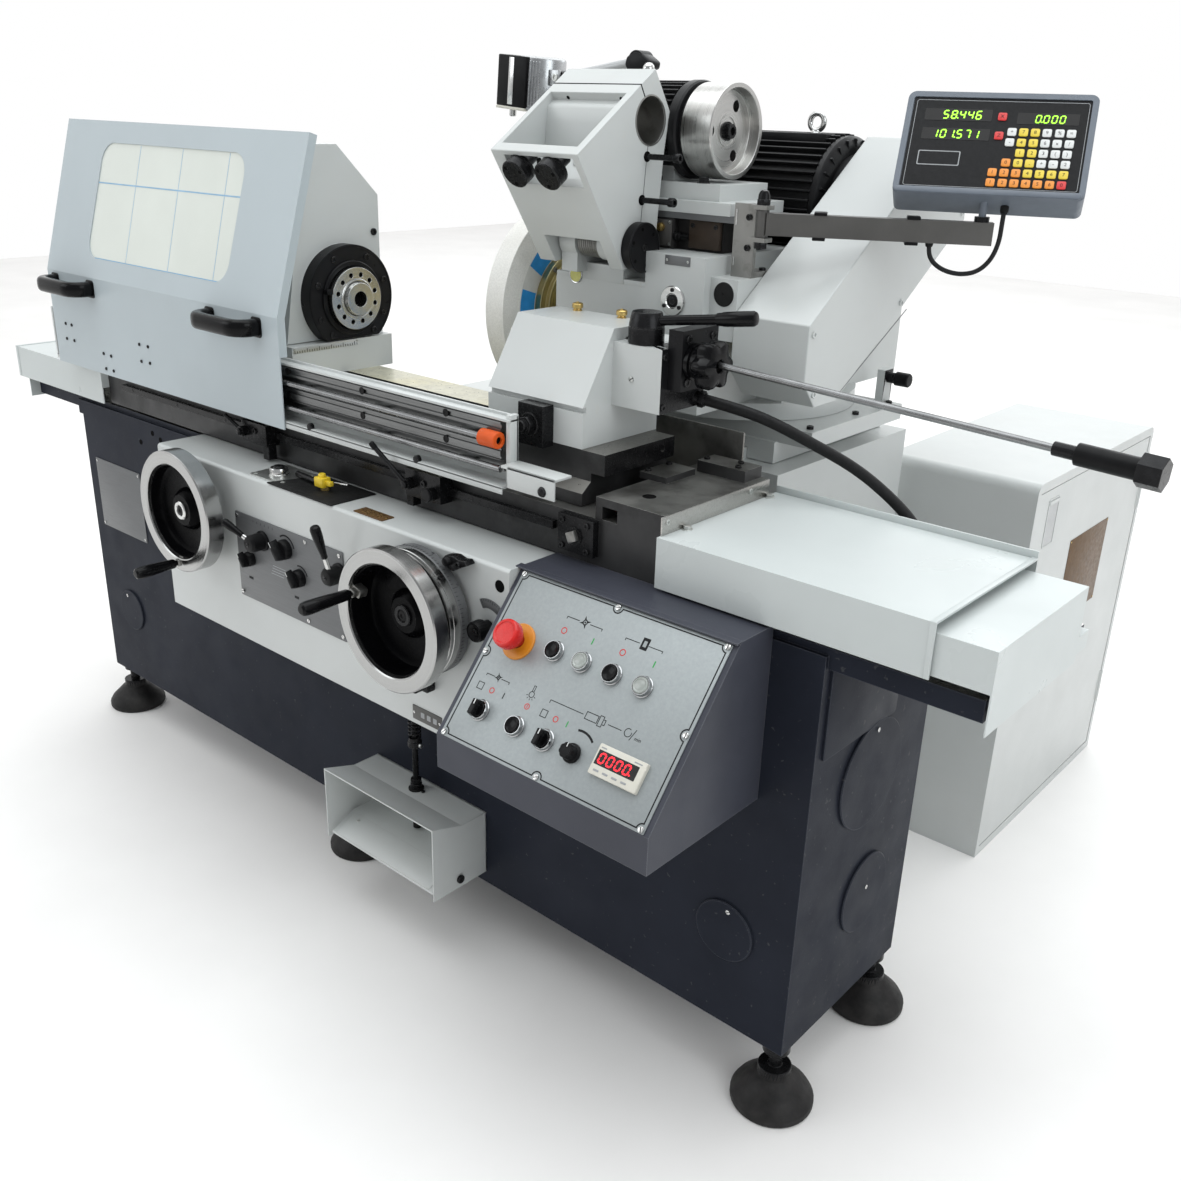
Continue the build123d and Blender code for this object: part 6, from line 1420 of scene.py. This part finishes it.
spool.lathe([(13.5, -1), (13.5, 2.2), (10.4, 2.2), (10.4, 9.4), (9.4, 10.4), (6, 10.4), (5.6, 5), (0, 4.6)], PUL, BLACK_OXIDE, 36)
spool.lathe([(20, -0.5), (22, -0.5), (22, 1.2), (20, 1.2)], PUL, TURNED_P, 60, closed=True)
spool.lathe([(60.2, 15.6), (66.4, 15.6), (67.2, 16.2), (66.6, 17.4), (61, 17.4)], PUL, TURNED_P, 96, closed=True)
spool.done("small_pulley", "bright_steel")

# ---------------------------------------------------------------------- the readout
SHOW = frame_of(DRO_C, DRO_R, DRO_U)
show = Piece("readout_face")
strip(show, rrect(0, 0, 240, 146, 7), 8.0, -1.0, 3.0, BEZEL, SHOW, True)
show.prism(rrect(0, -72, 240, 9, 4), -14.0, 4.6, BEZEL, SHOW, bevel=1.6)
show.prism(rrect(1, 0, 232, 138, 4), -0.5, 1.2, PRINT, SHOW)
strip(show, rrect(1, 0, 224, 130, 3), 0.7, 1.1, 1.35, KEY_GREY, SHOW, True)
for u0, u1, v0, v1 in ((-98, -9, 34, 52), (-98, -8.5, 5, 22.5), (23.5, 102.5, 31.5, 48.5)):
    show.prism(rrect((u0 + u1) / 2, (v0 + v1) / 2, u1 - u0, v1 - v0, 1.2), 1.0, 1.5, SCREEN, SHOW)
digits(show, "  58.446", -95, 37.2, 11.6, 6.2, 4.6, 1.7, 1.45, 1.75, GREEN_LED, SHOW)
digits(show, " 101.571", -95, 8.0, 11.6, 6.2, 4.6, 1.7, 1.45, 1.75, GREEN_LED, SHOW)
digits(show, "  0.000", 27, 34.4, 10.6, 5.8, 4.4, 1.5, 1.45, 1.75, GREEN_LED, SHOW)
show.prism(rrect(-70, -23, 56, 22, 2), 1.1, 1.4, KEY_GREY, SHOW)
show.prism(rrect(-70, -23, 53, 19, 1.5), 1.3, 1.55, PRINT, SHOW)
W_, Y_, O_, R_K = KEY_WHITE, KEY_YELLOW, KEY_ORANGE, KEY_RED
KEYS = ((41.5, ((4.4, R_K, "X"),)), (12.9, ((3.7, R_K, "Z"),)),
        (19.0, ((19.7, W_, "+"), (34.7, Y_, "7"), (49.6, Y_, "8"), (64.6, W_, "9"), (80.5, W_, "%"), (95.2, W_, "="))),
        (3.5, ((18.9, W_, "-"), (33.9, Y_, "4"), (49.1, Y_, "5"), (64.0, W_, "6"), (79.2, W_, "x"), (94.4, W_, "/"))),
        (-11.8, ((34.1, Y_, "1"), (49.4, Y_, "2"), (63.9, W_, "3"), (79.0, W_, "("), (93.7, W_, ")"))),
        (-26.8, ((18.3, O_, "0"), (33.8, Y_, "0"), (48.6, Y_, "."), (63.4, W_, "+"), (78.4, W_, "-"), (93.6, W_, "2"))),
        (-41.8, ((3.1, O_, "1"), (18.2, O_, "2"), (33.2, O_, "3"), (48.1, Y_, "4"), (63.3, Y_, "5"), (78.3, Y_, "6"), (93.3, Y_, "7"))),
        (-56.8, ((2.6, O_, "1"), (18.1, O_, "2"), (33.0, O_, "3"), (47.9, O_, "4"), (62.7, O_, "5"), (77.9, O_, "6"), (92.7, R_K, "0"))))
for v, row in KEYS:
    for u, mat, mark in row:
        show.prism(rrect(u, v, 11.6, 11.6, 2.2, 3), 1.0, 2.7, mat, SHOW, bevel=0.4)
        show.text(mark, 7.0, SHOW @ Matrix.Translation((u, v, 2.72)), PRINT, 0.12)
show.done("readout", "display_plastic")
case = Piece("readout_case_back")
BACK = SHOW @ Matrix.Translation((0, 0, -45))
case.prism(rrect(0, 0, 210, 118, 10), -5.0, 0.5, BEZEL, BACK, bevel=1.5)
# the near-black slots are painted shade of the case's vents
for k in range(9):
    case.prism(rrect(-60 + 15 * k, 20, 7, 34, 3), -5.4, -4.6, DARK_HOLE, BACK)
for u in (-40, 26, 60):
    case.prism(rrect(u, -38, 26, 13, 3), -9.0, -4.6, BLACK, BACK, bevel=0.8)
for u, v in ((-114, 66), (114, 66), (-114, -66), (114, -66)):
    case.cap_screw(BACK @ Vector((u, v, 0)), BACK.to_3x3() @ Vector((0, 0, -1)), 3.6, 2.0)
case.lathe([(3.4, -4), (5.6, -4), (5.6, 6), (4.4, 9), (3.4, 9)], axis_frame(LEAD_END, -DRO_U), RUBBER, 24, closed=True)
case.done("readout", "display_plastic")
clips = Piece("readout_arm_clips")
ARM_M = frame_of((-346, 318, 0), (math.cos(ARM_A), math.sin(ARM_A), 0), (-math.sin(ARM_A), math.cos(ARM_A), 0))
for u in (80, 206):
    clips.box(u - 9, u + 9, -12.6, 12.6, 1079.6, 1084, BLACK, 1.2, ARM_M)
    clips.box(u - 9, u + 9, -12.6, 12.6, 1046, 1050.4, BLACK, 1.2, ARM_M)
clips.lathe([(3.3, 0), (5.4, 0), (5.4, -3), (4.4, -6), (3.3, -6)], axis_frame((*on_arm(231, 0, 0)[:2], 1050.4), (0, 0, 1)), RUBBER, 24, closed=True)
clips.done("readout_arm", "black_plastic")
post = Piece("readout_post_nut")
post.prism(circle(-346, 318, 10.5, 6), 1090, 1098, BLACK_OXIDE, bevel=1.0)
post.lathe([(8.6, 0), (8.2, 6), (5.6, 11), (0, 13)], TOP(-346, 318, 1098), BLACK_OXIDE, 28)
post.prism(circle(-346, 318, 10.0, 6), 1031, 1040, BLACK_OXIDE, bevel=1.0)
for z in (1072, 1030):
    post.cap_screw((-368, 318, z), (0, -1, 0), 4.6, 3.0)
post.box(-391, -388.8, 317.3, 318.2, 1004, 1016, BRIGHT)
post.box(-391, -388.8, 317.3, 318.2, 1060, 1082, BRIGHT)
for x in (-386, -366):
    post.cap_screw((x, 358, 996), (0, 0, 1), 5.0, 4.0)
post.done("wheelhead", "black_iron")

# ------------------------------------------------------------------------- the lamp
LEAN = Matrix.Translation((-950, 484, 1247)) @ Matrix.Rotation(math.radians(4.5), 4, "Y") @ Matrix.Translation((950, -484, -1247))
lamp = Piece("lamp_housing")
DRUM = LEAN @ TOP(-938, 488, 0)
lamp.lathe([(39.6, 1204), (42, 1203), (43, 1204.4), (43, 1209), (42, 1210), (42, 1284), (40.6, 1288), (36, 1290), (0, 1290)], DRUM, CAST_ALU, 80)
lamp.box(-988, -940, 467, 509, 1205, 1288, CAST_ALU, 3.0, LEAN)
for k in range(4):
    M = DRUM @ Matrix.Rotation(math.radians(-74 + 7.0 * k), 4, "Z")
    lamp.box(41.0, 44.4, -1.2, 1.2, 1212, 1283, CAST_ALU, 0.5, M, segments=1)
lamp.lathe([(39.6, 1203.6), (39.6, 1204.8), (0, 1205.2)], DRUM, GLASS, 48)
for y in (466, 496):
    lamp.box(-901, -877, y, y + 6, 1244, 1268, CAST_ALU, 1.0)
lamp.box(-906, -897, 466, 502, 1244, 1268, CAST_ALU, 1.0)
lamp.cap_screw((-884, 466, 1256), (0, -1, 0), 6.0, 3.0, ZINC)
lamp.cap_screw((-884, 502, 1256), (0, 1, 0), 6.0, 3.0, ZINC)
lamp.done("lamp", "alu", "lamp_head")
cheek = Piece("lamp_face_block")
cheek.box(-1000, -931, 441, 474, 1206.4, 1289, BLACK, 2.0, LEAN)
cheek.box(-972, -960, 439.8, 441.6, 1210, 1286, BRIGHT, 0.5, LEAN)
cheek.box(-1000, -931, 440.6, 474, 1201.8, 1206.6, CREAM, 1.0, LEAN)
for z in range(1214, 1284, 9):
    cheek.box(-1001.2, -999.4, 448, 470, z, z + 4, BLACK, 0.5, LEAN)
cheek.lathe([(5.2, 1189), (6.4, 1190.4), (6.4, 1200), (4.4, 1202.4), (0, 1202.6)], LEAN @ TOP(-984, 468, 0), BRIGHT, 28)
cheek.done("lamp", "black_plastic")
elbow = Piece("lamp_elbow")
elbow.prism([(-735, 1277), (-732, 1288), (-716, 1297), (-704, 1295), (-681, 1281), (-683, 1270), (-704, 1267), (-730, 1268)], -499, -469, BLACK_PAINT, FRONT(0, 0, 0), bevel=4.0, segments=3)
elbow.lathe([(0, -10), (5, -8.7), (8.7, -5), (10, 0), (8.7, 5), (5, 8.7), (0, 10)], TOP(-681, 466, 1270), BRIGHT, 32)
elbow.lathe([(17, 0), (19, 1.5), (19, 8), (16.5, 10), (0, 10)], TOP(-660, 484, 1041), BLACK, 32)
elbow.done("lamp_stem", "black_plastic")


# ------------------------------------------------------- cabinet, guard and rear
door = Piece("door_fittings")
door.box(-63, -62.2, 1008, 1207, 316, 488, BROWN, 0.3)
for y in (1012, 1203):
    for z in (320, 484):
        door.slot_screw((-62.2, y, z), (1, 0, 0), 1.8, 0.6, BRASS)
# finger pull near the free edge: a white rim and lip round a thin grey plate, the grey being painted shade of a shallow
# dish
strip(door, rrect(880, 556, 46, 88, 3), 2.4, -0.3, 1.0, WHITE, RIGHT(-63, 0, 0), True)
door.prism(rrect(880, 556, 44, 86, 3), -0.3, 0.25, LAMP_GREY_AND_RECESS_SHADE, RIGHT(-63, 0, 0))
door.prism(rrect(880, 594, 44, 7, 2), -0.3, 2.0, WHITE, RIGHT(-63, 0, 0), bevel=0.6)
door.done("door", "white_paint")
cab = Piece("cabinet_fittings")
for z in (40, 560):
    cab.lathe([(6, -26), (6, 26), (0, 26)], TOP(-66, 1388, z), ZINC, 20)
# louvres: the near-black strips under the slats are painted shade of the openings
for k in range(10):
    z = 300 + 22 * k
    cab.prism(rrect(-1100, z, 200, 9, 4), -0.5, 0.6, DARK_HOLE, frame_of((-345, 0, 0), (0, -1, 0), (0, 0, 1)))
    cab.prism(rrect(-1100, z + 5, 206, 6, 2.8), -0.5, 3.2, WHITE, frame_of((-345, 0, 0), (0, -1, 0), (0, 0, 1)), bevel=0.8)
for y in (830, 1360):
    for x in (-328, -80):
        cab.lathe([(16, 0), (16, 4), (13, 6), (0, 6)], axis_frame((x, y, -104.9), (0, 0, 1)), IRON, 24)
cab.done("base", "white_paint")
seam = Piece("belt_guard_fittings")
strip(seam, [(372, 829), (563, 936)], 1.4, -0.5, 0.12, GREY_PLATE, RIGHT(-231, 0, 0))
for y, z in ((306, 842), (292, 928), (470, 1066), (700, 1168), (712, 1072), (540, 948)):
    seam.cap_screw((-231, y, z), (1, 0, 0), 5.0, 2.6, WHITE)
seam.done("wheelhead", "white_paint")
rear = Piece("wheelhead_rear_panel")
rear.box(-650, -400, 799.6, 802.4, 806, 966, SHEET, 1.0)
for x in (-640, -410):
    for z in (816, 956):
        rear.cap_screw((x, 802.4, z), (0, 1, 0), 4.4, 2.6)
rear.done("wheelhead", "white_paint")
bedrear = Piece("bed_rear_panels")
for x0 in (-1690, -1180, -520):
    bedrear.box(x0, x0 + 380, 316.6, 320.0, 130, 470, BED, 1.2)
    for x in (x0 + 12, x0 + 368):
        for z in (142, 458):
            bedrear.cap_screw((x, 320, z), (0, 1, 0), 5.0, 3.0)
bedrear.done("base", "bed_paint")
slide = Piece("slide_fittings")
for x in (-725, -292):
    for y in (420, 560, 672):
        slide.cap_screw((x if x < -400 else -296, y, 760), (0, 0, 1), 5.6, 5.0)
slide.lathe([(9.2, 0), (11.5, 2), (11.5, 24), (10, 26), (0, 26.5)], axis_frame((-291, 676, 803), (1, 0, 0)), BLACK, 28, shape=lambda a, k: 1 + 0.03 * math.cos(16 * a))
slide.done("cross_slide", "black_iron")

# ------------------------------------------------------------ floor and light
floor_mat = material("pale_floor", (0.93, 0.915, 0.90), 0.6, vary=0.03, scale=2.0, bump=0.05, bump_scale=125)
floor_mesh = bpy.data.meshes.new("floor")
floor_mesh.from_pydata([(-9, -9, 0), (9, -9, 0), (9, 9, 0), (-9, 9, 0)], [], [(0, 1, 2, 3)])
floor_mesh.materials.append(floor_mat)
floor = bpy.data.objects.new("floor", floor_mesh)
scene.collection.objects.link(floor)

world = bpy.data.worlds.new("studio")
world.use_nodes = True
# a white backdrop behind the machine that falls off to a dimmer room on the operator's side
wt = world.node_tree
aim = wt.nodes.new("ShaderNodeVectorMath")
aim.operation = "DOT_PRODUCT"
wt.links.new(wt.nodes.new("ShaderNodeTexCoord").outputs["Generated"], aim.inputs[0])
aim.inputs[1].default_value = (-0.62, 0.70, 0.35)
fall = wt.nodes.new("ShaderNodeValToRGB")
fall.color_ramp.elements[0].position = 0.0
fall.color_ramp.elements[0].color = (0.42, 0.43, 0.44, 1)
fall.color_ramp.elements[1].position = 0.45
fall.color_ramp.elements[1].color = (1.0, 1.0, 1.0, 1)
half = wt.nodes.new("ShaderNodeMath")
half.operation = "MULTIPLY_ADD"
half.inputs[1].default_value = 0.5
half.inputs[2].default_value = 0.25
wt.links.new(aim.outputs["Value"], half.inputs[0])
wt.links.new(half.outputs[0], fall.inputs["Fac"])
wt.links.new(fall.outputs["Color"], wt.nodes["Background"].inputs["Color"])
wt.nodes["Background"].inputs["Strength"].default_value = 1.0
scene.world = world


def softbox(name, at, to, size, power, colour=(0.93, 0.98, 1.0)):
    li = bpy.data.lights.new(name, "AREA")
    li.shape = "RECTANGLE"
    li.size, li.size_y = size
    li.energy = power
    li.color = colour
    ob = bpy.data.objects.new(name, li)
    scene.collection.objects.link(ob)
    ob.location = at
    ob.rotation_euler = (Vector(to) - Vector(at)).to_track_quat("-Z", "Y").to_euler()
    return ob


softbox("overhead", (0.2, -0.4, 4.2), (0.0, 0.0, 0.7), (4.5, 3.5), 96)
softbox("front_left", (-2.6, -3.6, 2.6), (-0.1, 0.0, 0.8), (2.4, 2.0), 26)
softbox("right", (4.0, -1.0, 2.4), (0.0, 0.1, 0.7), (2.2, 2.2), 36)
softbox("sweep", (-3.6, 5.0, 4.5), (-3.6, 5.0, 0.0), (8.0, 6.0), 130)
softbox("back", (0.5, 4.2, 3.2), (0.0, 0.2, 0.8), (3.0, 2.0), 30)
scene.view_settings.view_transform = "Standard"
scene.view_settings.look = "None"
scene.view_settings.exposure = 0.0
